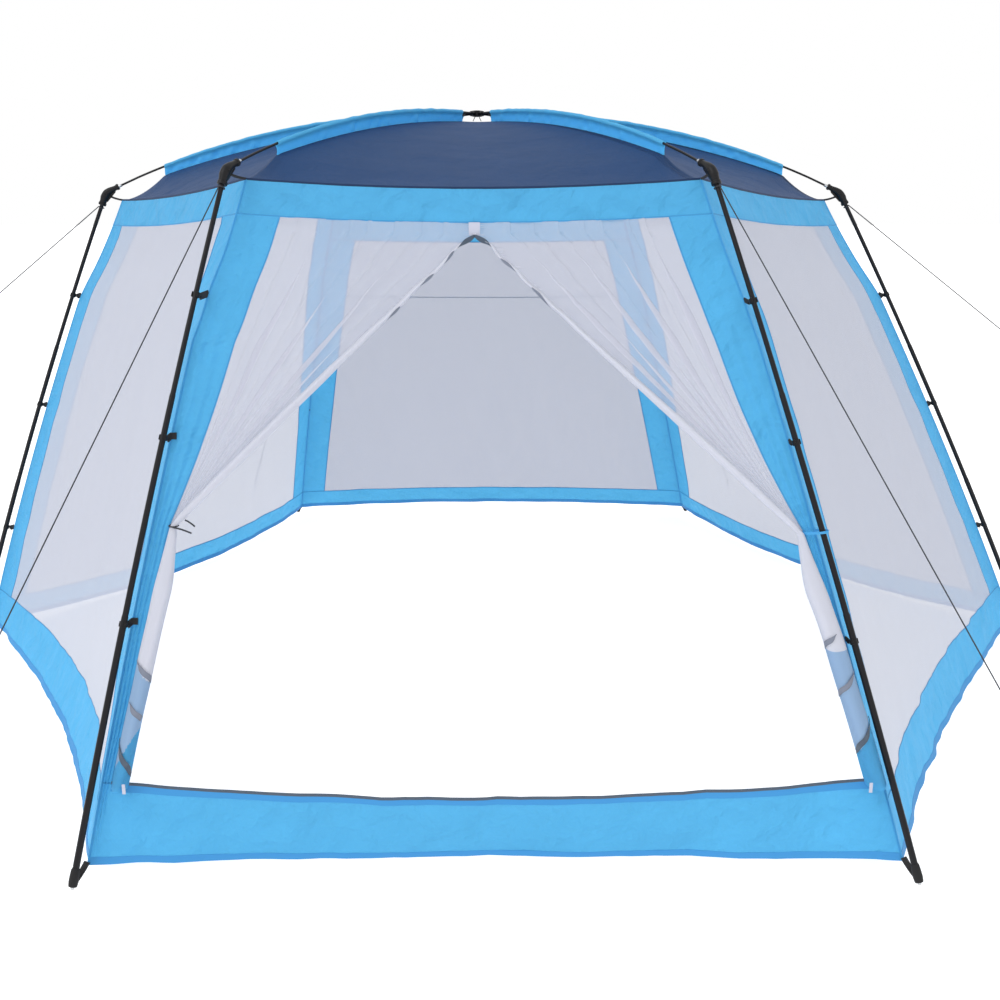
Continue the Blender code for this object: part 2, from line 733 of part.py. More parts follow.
def flap_width(row):
    """Width of a tied-back flap: from half the doorway at the header to a bunch at the tie."""
    if row >= TIE_ROW:
        share = (row - TIE_ROW) / (SILL_ROW - TIE_ROW)
        return FLAP_TIE_WIDTH + (FLAP_FOOT_WIDTH - FLAP_TIE_WIDTH) * share
    half_top = wall_length(FRONT, HEADER_ROW) / 2.0
    half_here = wall_length(FRONT, row) / 2.0
    half_tie = wall_length(FRONT, TIE_ROW) / 2.0
    share = (row - HEADER_ROW) / (TIE_ROW - HEADER_ROW)
    centre_to_edge = share * (half_tie - strip_width(FRONT, TIE_ROW) - FLAP_TIE_WIDTH)
    return min(half_here - strip_width(FRONT, row) - centre_to_edge, half_top)


def flap_thickness(row):
    if row >= TIE_ROW:
        share = (row - TIE_ROW) / (SILL_ROW - TIE_ROW)
        return FLAP_TIE_THICKNESS + (FLAP_FOOT_THICKNESS - FLAP_TIE_THICKNESS) * share
    gather = ((row - HEADER_ROW) / (TIE_ROW - HEADER_ROW)) ** 6
    return CLOTH_THICKNESS + (FLAP_TIE_THICKNESS - CLOTH_THICKNESS) * gather


def make_door_flap(side):
    """A net flap, drawn back to the front leg on one side and hanging from its tie."""
    rows = [row for row in WALL_ROWS if HEADER_ROW <= row <= SILL_ROW]
    grid = []
    for row in rows:
        length = wall_length(FRONT, row)
        outer = strip_width(FRONT, row)
        inner = outer + flap_width(row)
        steps = range(HALF_COLUMNS + 1)
        shares = [(outer + (inner - outer) * step / HALF_COLUMNS) / length for step in steps]
        if side == "right":
            shares = [1.0 - share for share in reversed(shares)]
        grid.append([between_columns(FRONT, share, row) for share in shares])
    shrink(grid, GAP)
    thickness = [flap_thickness(row) for row in rows]
    place(f"door_flap_{side}", sheet_mesh("flap", grid, thickness, lambda row, column: True), "net")


def clear_scene():
    for item in list(bpy.data.objects):
        bpy.data.objects.remove(item)


clear_scene()
make_hub()
for corner_number in range(len(CORNERS)):
    make_roof_rod(corner_number)
    make_elbow(corner_number)
    make_leg(corner_number)
    make_rod_sleeve(corner_number)
    make_guy_line(corner_number)
make_roof_canopy()
for wall_number in range(len(WALLS)):
    make_wall_border(wall_number)
    if wall_number != FRONT:
        make_wall_mesh(wall_number)
make_door_flap("left")
make_door_flap("right")
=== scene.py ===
"""The looks of a six-sided screened pool tent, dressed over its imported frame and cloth."""

from math import atan2, cos, exp, pi, radians, sin

import bmesh
import bpy
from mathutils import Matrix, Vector, noise


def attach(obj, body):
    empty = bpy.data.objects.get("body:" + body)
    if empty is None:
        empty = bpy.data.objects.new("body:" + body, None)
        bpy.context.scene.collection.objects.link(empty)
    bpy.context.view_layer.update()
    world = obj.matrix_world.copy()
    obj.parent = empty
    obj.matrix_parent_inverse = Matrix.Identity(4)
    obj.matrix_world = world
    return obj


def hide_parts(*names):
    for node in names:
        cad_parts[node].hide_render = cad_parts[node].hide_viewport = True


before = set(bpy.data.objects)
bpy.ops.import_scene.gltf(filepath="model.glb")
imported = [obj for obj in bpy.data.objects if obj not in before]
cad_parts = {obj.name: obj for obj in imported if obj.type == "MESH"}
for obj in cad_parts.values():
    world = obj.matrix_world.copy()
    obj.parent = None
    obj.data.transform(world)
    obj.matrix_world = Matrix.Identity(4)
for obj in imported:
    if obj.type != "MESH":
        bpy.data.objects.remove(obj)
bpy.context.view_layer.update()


# The camera, the light and the floor.
# The camera stands at eye height in front of the doorway, as the photographer did, and the
# light is a bright even studio with one large soft lamp high on the left.

CAMERA_PLACE = (-0.0243, -5.5169, 2.0589)
CAMERA_PITCH = -0.2493
CAMERA_TURN = -0.0098
SENSOR_WIDTH = 36.0
LENS = 43.135
HALF_FLOOR = 80.0
FLOOR_COLOUR = (0.52, 0.52, 0.525)
FLOOR_ROUGHNESS = 0.9
FLOOR_GLOW = 0.84
WHITE = (1.0, 1.0, 1.0, 1.0)
SKY_STRENGTH = 1.0
LAMP_TURN = (radians(38.0), radians(-20.0), radians(-28.0))
LAMP_STRENGTH = 0.85
LAMP_SOFTNESS = radians(24.0)


def in_scene(name, data):
    """An object that holds the given camera, lamp or mesh."""
    made = bpy.data.objects.new(name, data)
    bpy.context.scene.collection.objects.link(made)
    return made


def new_material(name, colour, roughness, metallic=0.0, gloss=0.5):
    """A material with its node tree and its Principled shader."""
    made = bpy.data.materials.new(name)
    made.use_nodes = True
    tree = made.node_tree
    shader = tree.nodes["Principled BSDF"]
    shader.inputs["Base Color"].default_value = (*colour, 1.0)
    shader.inputs["Roughness"].default_value = roughness
    shader.inputs["Metallic"].default_value = metallic
    shader.inputs["Specular IOR Level"].default_value = gloss
    return made, tree, shader


camera_data = bpy.data.cameras.new("camera")
camera_data.sensor_width = SENSOR_WIDTH
camera_data.lens = LENS
camera = in_scene("camera", camera_data)
camera.location = CAMERA_PLACE
camera.rotation_euler = (pi / 2 + CAMERA_PITCH, 0.0, CAMERA_TURN)
bpy.context.scene.camera = camera
bpy.context.scene.view_settings.view_transform = "Standard"

world = bpy.data.worlds.new("studio")
world.use_nodes = True
world.node_tree.nodes["Background"].inputs["Color"].default_value = WHITE
world.node_tree.nodes["Background"].inputs["Strength"].default_value = SKY_STRENGTH
bpy.context.scene.world = world

lamp_data = bpy.data.lights.new("lamp", "SUN")
lamp_data.energy = LAMP_STRENGTH
lamp_data.angle = LAMP_SOFTNESS
in_scene("lamp", lamp_data).rotation_euler = LAMP_TURN

floor_material, _, floor_shader = new_material("studio_floor", FLOOR_COLOUR, FLOOR_ROUGHNESS)
floor_shader.inputs["Emission Color"].default_value = WHITE
floor_shader.inputs["Emission Strength"].default_value = FLOOR_GLOW
floor_mesh = bpy.data.meshes.new("floor")
floor_corners = [(x * HALF_FLOOR, y * HALF_FLOOR, 0.0) for x, y in ((-1, -1), (1, -1), (1, 1), (-1, 1))]
floor_mesh.from_pydata(floor_corners, [], [(0, 1, 2, 3)])
floor_mesh.materials.append(floor_material)
floor = in_scene("floor", floor_mesh)


# The legs.
# Six black powder-coated steel tubes, each in three lengths with swaged joints. They splay
# out from the roof's corners and bow a little under its load.

CORNERS = ("right", "back_right", "back_left", "left", "front_left", "front_right")
FOOT_REACH = {"left": 2.50, "others": 2.60}
CONNECTOR_RADIUS = {"left": 1.635, "right": 1.635, "others": 1.61}
CONNECTOR_HEIGHT = 2.145
CORNER_DROP = {"left": 0.075, "right": 0.075, "others": 0.0}
CONNECTOR_LEAN = -0.086
LEG_BOW = 0.026
LEG_RADIUS = 0.0095
LEG_BOTTOM = 0.034
LEG_TOP_DROP = 0.0522
LEG_JOINTS = (0.36, 0.68)
SWAGE_LENGTH = 0.010
SWAGE_STEP = 0.0011
LEG_SIDES = 20
LEG_STEPS = 36
STEEL_COLOUR = (0.008, 0.008, 0.010)
GRAIN_DETAIL = 3.0
GRAIN_BROAD_SCALE = 9.0
GRAIN_GLOSS = 0.22
SHARP_ANGLE = 40.0
UP = Vector((0.0, 0.0, 1.0))


def pick(values, name):
    """A named place's own value, or the one that the others share."""
    return values.get(name, values["others"])


def at_corner(values, corner):
    return pick(values, CORNERS[corner % 6])


def outward(corner):
    """Unit vector from the middle towards a corner."""
    angle = radians(60.0 * corner)
    return Vector((cos(angle), sin(angle), 0.0))


def foot(corner):
    return outward(corner) * at_corner(FOOT_REACH, corner)


def connector(corner):
    """Where the lines of a leg and a roof rod meet. The side corners stand a little lower."""
    height = CONNECTOR_HEIGHT - at_corner(CORNER_DROP, corner)
    return outward(corner) * at_corner(CONNECTOR_RADIUS, corner) + Vector((CONNECTOR_LEAN, 0.0, height))


def on_leg(corner, height):
    """The middle of a leg's tube at a height above the ground."""
    top = connector(corner)
    share = height / top.z
    return foot(corner).lerp(top, share) + outward(corner) * LEG_BOW * 4.0 * share * (1.0 - share)


def steps(count):
    """Even shares of a length, from 0 to 1."""
    return [step / count for step in range(count + 1)]


class Pattern:
    """The points and faces of one piece, with each point's place on the flat cloth."""

    def __init__(self):
        self.points = []
        self.flat = []
        self.faces = []
        self.finish = []

    def add(self, points, flat=None):
        first = len(self.points)
        self.points += [tuple(point) for point in points]
        self.flat += flat if flat else [(0.0, 0.0)] * len(points)
        return list(range(first, len(self.points)))

    def face(self, corners, finish=0):
        self.faces.append(corners)
        self.finish.append(finish)

    def loft(self, loops, finish=0, capped=True, closed=True, flats=None):
        """Skin loops of points, one to the next, with a face on each end."""
        made = [self.add(loop, flats[index] if flats else None) for index, loop in enumerate(loops)]
        count = len(made[0])
        for first, second in zip(made, made[1:]):
            for side in range(count if closed else count - 1):
                after = (side + 1) % count
                self.face((first[side], first[after], second[after], second[side]), finish)
        if capped:
            self.face(tuple(reversed(made[0])), finish)
            self.face(tuple(made[-1]), finish)

    def grid(self, rows, flat, finish=None):
        """A sheet through rows of points. finish(row, column) picks a cell's material, or None."""
        made = [self.add(points, places) for points, places in zip(rows, flat)]
        for row, (first, second) in enumerate(zip(made, made[1:])):
            for column in range(len(first) - 1):
                kind = finish(row, column) if finish else 0
                if kind is not None:
                    self.face((first[column], first[column + 1], second[column + 1], second[column]), kind)


def heading(path, index):
    """Unit vector along a path at one of its points."""
    return (path[min(index + 1, len(path) - 1)] - path[max(index - 1, 0)]).normalized()


def per_point(value, index):
    """A value that is given for each point of a path, or once for all of them."""
    return value[index] if isinstance(value, (list, tuple)) else value


def arc(centre, side, up, radius, turns):
    """Points round a centre, one for each share of a full turn."""
    return [centre + (side * cos(2.0 * pi * turn) + up * sin(2.0 * pi * turn)) * radius for turn in turns]


def sweep(path, radii, sides, start_side=None):
    """Rings round a path, turned as little as possible from one to the next."""
    side = start_side
    loops = []
    for index, point in enumerate(path):
        along = heading(path, index)
        side = along.orthogonal() if side is None else side
        side = (side - along * side.dot(along)).normalized()
        loops.append(arc(point, side, along.cross(side), per_point(radii, index), steps(sides)[:-1]))
    return loops


def turned(path, profile, sides, start_side=None):
    """Rings of a turned piece. profile gives each of the path's points its radius, as a second value."""
    return sweep(path, [radius for _, radius in profile], sides, start_side)


def ribbon(path, sides, width, thickness):
    """Flat four-cornered loops along a path. sides gives the ribbon's width direction."""
    loops = []
    for index, point in enumerate(path):
        along = heading(path, index)
        side = per_point(sides, index)
        side = (side - along * side.dot(along)).normalized()
        up = along.cross(side) * thickness / 2.0
        across = side * per_point(width, index) / 2.0
        loops.append([point - across - up, point + across - up, point + across + up, point - across + up])
    return loops


def piece(name, pattern, materials, node=None, sharp=SHARP_ANGLE):
    """Make a named piece from a pattern. It rides with the frame and may stand for a node."""
    mesh = bpy.data.meshes.new(name)
    mesh.from_pydata(pattern.points, [], pattern.faces)
    for material in materials:
        mesh.materials.append(material)
    mesh.polygons.foreach_set("material_index", pattern.finish)
    layer = mesh.uv_layers.new(name="flat")
    layer.data.foreach_set("uv", [value for loop in mesh.loops for value in pattern.flat[loop.vertex_index]])
    facing = bmesh.new()
    facing.from_mesh(mesh)
    bmesh.ops.recalc_face_normals(facing, faces=facing.faces)
    facing.to_mesh(mesh)
    facing.free()
    mesh.shade_smooth()
    mesh.set_sharp_from_angle(angle=radians(sharp))
    made = in_scene(name, mesh)
    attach(made, "root")
    if node:
        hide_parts(node)
    return made


def feed(tree, socket, value):
    """Give a socket a plain value, or link another node's socket to it."""
    if isinstance(value, bpy.types.NodeSocket):
        tree.links.new(value, socket)
    else:
        socket.default_value = value


def add_node(tree, kind, inputs=None, **settings):
    """A shader node with its settings, and with plain values or sockets for its inputs."""
    made = tree.nodes.new("ShaderNode" + kind)
    for setting, value in settings.items():
        setattr(made, setting, value)
    for label, value in (inputs or {}).items():
        feed(tree, made.inputs[label], value)
    return made


def calculate(tree, operation, *values):
    """A Math node's result. A value is a number or another node's socket."""
    return add_node(tree, "Math", dict(enumerate(values)), operation=operation).outputs[0]


def new_group(name, inputs, outputs):
    """An empty shader node group with float inputs and outputs."""
    group = bpy.data.node_groups.new(name, "ShaderNodeTree")
    for label, value in inputs.items():
        socket = group.interface.new_socket(label, in_out="INPUT", socket_type="NodeSocketFloat")
        socket.default_value = value
    for label in outputs:
        group.interface.new_socket(label, in_out="OUTPUT", socket_type="NodeSocketFloat")
    return group, group.nodes.new("NodeGroupInput").outputs, group.nodes.new("NodeGroupOutput").inputs


def add_bump(tree, shader, height, depth):
    """Let a height pattern tilt a shader's surface. Gives the tilted normal."""
    normal = add_node(tree, "Bump", {"Distance": depth, "Height": height}).outputs["Normal"]
    feed(tree, shader.inputs["Normal"], normal)
    return normal


# Grain: the fine uneven skin of powder coat and moulded plastic.
grain, grain_in, grain_out = new_group(
    "grain", {"Size": 0.002, "Roughness": 0.4, "Spread": 0.1}, ("Height", "Roughness"))
grain_place = add_node(grain, "TexCoord").outputs["Object"]
grain_scale = calculate(grain, "DIVIDE", 1.0, grain_in["Size"])
grain_fine = add_node(grain, "TexNoise",
                      {"Vector": grain_place, "Scale": grain_scale, "Detail": GRAIN_DETAIL})
grain_broad = add_node(grain, "TexNoise", {"Vector": grain_place, "Scale": GRAIN_BROAD_SCALE})
grain_lift = calculate(grain, "SUBTRACT", grain_broad.outputs["Fac"], 0.5)
grain_lift = calculate(grain, "MULTIPLY_ADD", grain_lift, grain_in["Spread"], grain_in["Roughness"])
feed(grain, grain_out["Height"], grain_fine.outputs["Fac"])
feed(grain, grain_out["Roughness"], grain_lift)


def grained(name, colour, size, roughness, spread, depth, metallic=0.0):
    """A material with the grain's bump and uneven gloss."""
    made, tree, shader = new_material(name, colour, roughness, metallic, GRAIN_GLOSS)
    skin = add_node(tree, "Group", node_tree=grain)
    for label, value in (("Size", size), ("Roughness", roughness), ("Spread", spread)):
        skin.inputs[label].default_value = value
    feed(tree, shader.inputs["Roughness"], skin.outputs["Roughness"])
    add_bump(tree, shader, skin.outputs["Height"], depth)
    return made


steel = grained("black_powder_coat", STEEL_COLOUR, size=0.0022, roughness=0.36, spread=0.14, depth=0.0004)


def up_leg(corner, share):
    """A point on a leg, from just above its foot (0) to its top end inside the elbow (1)."""
    top = connector(corner).z - LEG_TOP_DROP
    return on_leg(corner, LEG_BOTTOM + (top - LEG_BOTTOM) * share)


for corner, name in enumerate(CORNERS):
    swage = SWAGE_LENGTH / (connector(corner) - foot(corner)).length
    shares = sorted(steps(LEG_STEPS) + list(LEG_JOINTS) + [joint + swage for joint in LEG_JOINTS])
    radii = []
    for share in shares:
        passed = sum(share >= joint + swage / 2.0 for joint in LEG_JOINTS)
        radii.append(LEG_RADIUS + SWAGE_STEP * (1 - passed))
    tube = Pattern()
    tube.loft(sweep([up_leg(corner, share) for share in shares], radii, LEG_SIDES))
    piece(f"leg_tube_{name}", tube, [steel], node=f"leg_{name}")


# The feet.
# A black rubber cup on each leg's end with a short steel tip, and a webbing tab that holds
# the hem's corner down to it. Profiles give heights and radii.

FOOT_PROFILE = ((0.009, 0.0085), (0.011, 0.0130), (0.024, 0.0150), (0.040, 0.0148), (0.058, 0.0135),
                (0.062, 0.0118))
TIP_PROFILE = ((0.0016, 0.0030), (0.0034, 0.0052), (0.0100, 0.0062))
FOOT_SIDES = 24
HEM_TAB_START_HEIGHT = 0.016
HEM_TAB_START_INSET = 0.010
HEM_TAB_END_RISE = 0.012
HEM_TAB_SHARES = (0.0, 0.35, 0.7, 1.0)
HEM_TAB_WIDTHS = (0.012, 0.020, 0.024, 0.024)
WEBBING_THICKNESS = 0.0022
RUBBER_COLOUR = (0.014, 0.014, 0.015)
TIP_COLOUR = (0.55, 0.56, 0.57)
WEBBING_COLOUR = (0.016, 0.016, 0.018)
WEBBING_ROUGHNESS = 0.72
WEBBING_RIB = 0.0016
WEBBING_DEPTH = 0.0006

rubber = grained("black_rubber", RUBBER_COLOUR, size=0.0012, roughness=0.62, spread=0.10, depth=0.0002)
bright_steel = grained("bright_steel", TIP_COLOUR, size=0.0009, roughness=0.30, spread=0.18, depth=0.0001,
                       metallic=1.0)

webbing, webbing_tree, webbing_shader = new_material("black_webbing", WEBBING_COLOUR, WEBBING_ROUGHNESS)
webbing_place = add_node(webbing_tree, "TexCoord").outputs["Object"]
webbing_wave = add_node(webbing_tree, "TexWave", {"Vector": webbing_place, "Scale": 1.0 / WEBBING_RIB / 3.0},
                        bands_direction="DIAGONAL")
add_bump(webbing_tree, webbing_shader, webbing_wave.outputs["Fac"], WEBBING_DEPTH)

# The corner seams of the walls hang a few centimetres inside the legs, and the hooks draw
# them in. Heights are above the ground.
SEAM_OFFSET = 0.036
SEAM_FLARE_HEIGHT = 1.60
HOOK_HEIGHTS = {"left": (1.62, 1.12, 0.53), "right": (1.62, 1.12, 0.53), "front_right": (1.725, 1.29, 0.700),
                "others": (1.745, 1.308, 0.757)}
HOOK_PULL = 0.32
HOOK_PULL_REACH = 0.085
HEM_OFFSET = 0.050
HEM_CORNER_HEIGHT = 0.050
EAVE_DROP = 0.033
EAVE_INSET = {"front_left": 0.092, "front_right": 0.052, "others": 0.070}


def hook_heights(corner):
    return at_corner(HOOK_HEIGHTS, corner)


def seam_offset(corner, height):
    """How far the corner seam of the walls hangs inside the leg's line."""
    eave = connector(corner).z - EAVE_DROP
    at_eave = at_corner(EAVE_INSET, corner) + (on_leg(corner, eave) - connector(corner)).dot(outward(corner))
    above = max(0.0, (height - SEAM_FLARE_HEIGHT) / (eave - SEAM_FLARE_HEIGHT))
    flare = 1.0 - (1.0 - above) ** 2
    for hook in hook_heights(corner):
        flare *= 1.0 - HOOK_PULL * exp(-((height - hook) / HOOK_PULL_REACH) ** 2)
    low = max(0.0, 1.0 - height / SEAM_FLARE_HEIGHT) ** 3
    return SEAM_OFFSET + (at_eave - SEAM_OFFSET) * flare + (HEM_OFFSET - SEAM_OFFSET) * low


def smooth_step(value):
    """0 below 0, 1 above 1 and a soft S between."""
    value = max(0.0, min(1.0, value))
    return value * value * (3.0 - 2.0 * value)


def seam_at(corner, height):
    return on_leg(corner, height) - outward(corner) * seam_offset(corner, height)


def seam_point(corner, row):
    """The seam where two walls meet, from the eave corner (row 0) to the hem (row 1)."""
    eave = connector(corner).z - EAVE_DROP
    return seam_at(corner, eave + (HEM_CORNER_HEIGHT - eave) * row)


for corner, name in enumerate(CORNERS):
    cup = Pattern()
    for finish, profile in enumerate((FOOT_PROFILE, TIP_PROFILE)):
        cup.loft(turned([on_leg(corner, height) for height, _ in profile], profile, FOOT_SIDES), finish)
    piece(f"leg_foot_{name}", cup, [rubber, bright_steel])
    tab = Pattern()
    start = on_leg(corner, HEM_TAB_START_HEIGHT) - outward(corner) * HEM_TAB_START_INSET
    end = seam_at(corner, HEM_CORNER_HEIGHT) + UP * HEM_TAB_END_RISE
    path = [start.lerp(end, share) for share in HEM_TAB_SHARES]
    tab.loft(ribbon(path, outward(corner).cross(UP), HEM_TAB_WIDTHS, WEBBING_THICKNESS))
    piece(f"hem_tab_{name}", tab, [webbing])


# The wall hooks.
# Three black moulded clips snap round each leg. Through a small eye, each holds the wall's
# corner seam by a short sewn loop of webbing.

CLIP_INNER = 0.0100
CLIP_OUTER = 0.0138
CLIP_HEIGHT = 0.019
CLIP_EDGE = 0.0015
CLIP_OPENING = radians(52.0)
CLIP_STEPS = 20
CLIP_EYE = 0.007
CLIP_EYE_WIRE = 0.0021
CLIP_EYE_STEPS = 16
CLIP_EYE_REACH = 0.0187
LOOP_WIDTH = {"front_right": 0.014, "others": 0.022}
LOOP_THICKNESS = 0.0042
LOOP_SHARES = (0.0, 0.3, 0.65, 1.0)
LOOP_ON_CLOTH = Vector((0.018, 0.0, 0.0))
LOOP_ON_CLOTH_TOP = 1.5
LOOP_LIFT = Vector((0.0, 0.004, 0.0))
CORD_SIDES = 8
PLASTIC_COLOUR = (0.008, 0.008, 0.009)

plastic = grained("black_plastic", PLASTIC_COLOUR, size=0.0008, roughness=0.40, spread=0.12, depth=0.0002)


def clip_loops(centre, axis, opening):
    """A C-shaped clip round a tube, open on the side that opening points to."""
    out = (opening - axis * opening.dot(axis)).normalized()
    side = axis.cross(out)
    half = axis * CLIP_HEIGHT / 2.0
    soft = axis * CLIP_EDGE
    loops = []
    for share in steps(CLIP_STEPS):
        angle = CLIP_OPENING + (2.0 * pi - 2.0 * CLIP_OPENING) * share
        ray = out * cos(angle) + side * sin(angle)
        inner, outer = centre + ray * CLIP_INNER, centre + ray * CLIP_OUTER
        loops.append([inner - half, outer - half + soft, outer + half - soft, inner + half])
    return loops


for corner, name in enumerate(CORNERS):
    clips = Pattern()
    for height in hook_heights(corner):
        centre = on_leg(corner, height)
        axis = (on_leg(corner, height + 0.1) - centre).normalized()
        wallward = (-outward(corner) + axis * outward(corner).dot(axis)).normalized()
        clips.loft(clip_loops(centre, axis, -wallward))
        eye_centre = centre + wallward * CLIP_EYE_REACH
        ring = arc(eye_centre, wallward, axis.cross(wallward), CLIP_EYE, steps(CLIP_EYE_STEPS))
        clips.loft(sweep(ring, CLIP_EYE_WIRE, CORD_SIDES, axis))
        path = [eye_centre.lerp(seam_at(corner, height), share) for share in LOOP_SHARES]
        if name == "front_left" and height < LOOP_ON_CLOTH_TOP:
            path = [point - LOOP_LIFT for point in path]
            path.append(path[-1] + LOOP_ON_CLOTH)
        clips.loft(ribbon(path, axis, pick(LOOP_WIDTH, name), LOOP_THICKNESS), 1)
    piece(f"wall_hooks_{name}", clips, [plastic, webbing])


# The roof rods.
# Six dark glass-fibre rods, bent up over the roof from the hub to the corner elbows, which
# each take a bright ferrule on the rod's end. Fractions run along a rod, from the hub.

HUB_HEIGHT = 2.405
HUB_LEAN = -0.071
ROD_RADIUS = 0.0045
ROD_BOW_POWER = 2.3
ROD_START_FRACTION = 0.06
ROD_END_FRACTION = 0.91
ARM_FRACTION = 0.08
ELBOW_ROD_ARM = 0.062
HUB_ARM = 0.052
ROD_IN_HUB = 0.7
ROD_IN_ELBOW = 0.8
ROD_SIDES = 14
ROD_STEPS = 40
ROD_COLOUR = (0.013, 0.013, 0.015)
FERRULE_LAP = 0.004
FERRULE_LENGTH = 0.020
FERRULE_PROFILE = ((0.0, 0.005676), (0.1, 0.0066), (0.9, 0.0066), (1.0, 0.00528))
FERRULE_SIDES = 18

rod_finish = grained("dark_glass_fibre", ROD_COLOUR, size=0.0030, roughness=0.30, spread=0.12, depth=0.0001)


def hub_place():
    return Vector((HUB_LEAN, 0.0, HUB_HEIGHT))


def rod_point(corner, fraction):
    """The middle of a roof rod, which bows upward between the hub and the corner."""
    end = connector(corner)
    point = hub_place().lerp(end, fraction)
    point.z = HUB_HEIGHT - (HUB_HEIGHT - end.z) * fraction ** ROD_BOW_POWER
    return point


def rodward_at(corner):
    """Unit vector from a connector towards its roof rod."""
    return (rod_point(corner, ROD_END_FRACTION) - connector(corner)).normalized()


def hub_arm(corner):
    """Unit vector from the hub's middle along one of its sockets."""
    return (rod_point(corner, ARM_FRACTION) - hub_place()).normalized()


for corner, name in enumerate(CORNERS):
    reach = ROD_END_FRACTION - ROD_START_FRACTION
    path = [hub_place() + hub_arm(corner) * HUB_ARM * ROD_IN_HUB]
    path += [rod_point(corner, ROD_START_FRACTION + reach * share) for share in steps(ROD_STEPS)]
    path.append(connector(corner) + rodward_at(corner) * ELBOW_ROD_ARM * ROD_IN_ELBOW)
    rod = Pattern()
    rod.loft(sweep(path, ROD_RADIUS, ROD_SIDES))
    start = connector(corner) + rodward_at(corner) * (ELBOW_ROD_ARM - FERRULE_LAP)
    path = [start + rodward_at(corner) * FERRULE_LENGTH * share for share, _ in FERRULE_PROFILE]
    rod.loft(turned(path, FERRULE_PROFILE, FERRULE_SIDES), 1)
    piece(f"roof_rod_look_{name}", rod, [rod_finish, bright_steel], node=f"roof_rod_{name}")


# The corner elbows.
# Black moulded elbows with a socket for the leg and one for the rod, a rib in the crook, a
# moulded pin, and an elastic strap from an eye in the crook to the roof's corner.

# The sockets' profiles give distances from the connector and radii.
LEG_SOCKET = ((0.060, 0.0148), (0.058, 0.0170), (0.049, 0.0170), (0.047, 0.0148), (0.034, 0.015688))
ROD_SOCKET = ((0.040, 0.0112), (0.052, 0.0112), (0.054, 0.0134), (0.061, 0.0134), (0.063, 0.0112))
ELBOW_RADIUS = 0.0175
ELBOW_END_RADIUS = 0.01288
BEND_START = 0.026
BEND_END = 0.028
ELBOW_SIDES = 24
ELBOW_STEPS = 14
RIB_CORNERS = ((0.046, 0.0, 0.0), (0.030, 0.0, 0.020), (0.0, 0.030, 0.018), (0.0, 0.050, 0.0))
HALF_RIB = 0.003
PIN_PLACE = 0.35
PIN_PROFILE = ((-0.0193, 0.00252), (-0.0180, 0.0042), (0.0180, 0.0042), (0.0193, 0.00252))
PIN_SIDES = 14
EAVE_EYE = 0.026
EAVE_STRAP_WIDTH = 0.008
EAVE_STRAP_THICKNESS = 0.0060
EAVE_STRAP_SAG = 0.002
EAVE_STRAP_STEPS = 5

for corner, name in enumerate(CORNERS):
    centre = connector(corner)
    down = (on_leg(corner, hook_heights(corner)[0]) - centre).normalized()
    rodward = rodward_at(corner)
    rings = [(centre + down * reach, radius) for reach, radius in LEG_SOCKET]
    bend_start, bend_end = centre + down * BEND_START, centre + rodward * BEND_END
    for share in steps(ELBOW_STEPS):
        past_middle = max(0.0, share - 0.5) * 2.0
        rings.append((bend_start.lerp(centre, share).lerp(centre.lerp(bend_end, share), share),
                      ELBOW_RADIUS + (ELBOW_END_RADIUS - ELBOW_RADIUS) * past_middle))
    rings += [(centre + rodward * reach, radius) for reach, radius in ROD_SOCKET]
    elbow = Pattern()
    elbow.loft(turned([point for point, _ in rings], rings, ELBOW_SIDES))
    crook = (down + rodward).normalized()
    side = down.cross(rodward).normalized()
    rib = [centre + down * low + rodward * high + crook * out for low, high, out in RIB_CORNERS]
    elbow.loft([[rib_corner + side * offset for rib_corner in rib] for offset in (-HALF_RIB, HALF_RIB)])
    pin = centre.lerp(bend_start, PIN_PLACE)
    elbow.loft(turned([pin + side * offset for offset, _ in PIN_PROFILE], PIN_PROFILE, PIN_SIDES))
    eye, eave = centre + crook * EAVE_EYE, seam_point(corner, 0.0)
    sagging = [eye.lerp(eave, share) - UP * EAVE_STRAP_SAG * 4.0 * share * (1.0 - share)
               for share in steps(EAVE_STRAP_STEPS)]
    elbow.loft(ribbon(sagging, UP, EAVE_STRAP_WIDTH, EAVE_STRAP_THICKNESS), 1)
    piece(f"corner_elbow_look_{name}", elbow, [plastic, webbing],
          node=f"corner_elbow_{name}")


# The hub.
# One black moulded boss with six sockets, a domed cap and a ring below it, from which a
# short strap goes down to the patch at the roof's centre.

HUB_PROFILE = ((-0.014, 0.010), (-0.013, 0.021), (0.009, 0.0235), (0.0115, 0.022), (0.013, 0.012),
               (0.013, 0.002))
HUB_SIDES = 36
HUB_SOCKET = ((0.014, 0.008272), (0.042, 0.007568), (0.0435, 0.0088), (0.051, 0.0088), (0.052, 0.00704))
HUB_SOCKET_SIDES = 18
HUB_STRAP_TOP = (0.008, 0.012)
HUB_STRAP_FOOT = (0.018, 0.032)
HUB_STRAP_WIDTH = 0.020

hub_pattern = Pattern()
hub_pattern.loft(turned([hub_place() + UP * height for height, _ in HUB_PROFILE], HUB_PROFILE, HUB_SIDES,
                        outward(0)))
for corner in range(6):
    path = [hub_place() + hub_arm(corner) * reach for reach, _ in HUB_SOCKET]
    hub_pattern.loft(turned(path, HUB_SOCKET, HUB_SOCKET_SIDES))
for turn in (-1.0, 1.0):
    top, low = [hub_place() + outward(0) * spread * turn - UP * drop
                for spread, drop in (HUB_STRAP_TOP, HUB_STRAP_FOOT)]
    hub_pattern.loft(ribbon([top, top.lerp(low, 0.5), low], outward(0).cross(UP), HUB_STRAP_WIDTH,
                            WEBBING_THICKNESS), 1)
piece("hub_look", hub_pattern, [plastic, webbing], node="hub")


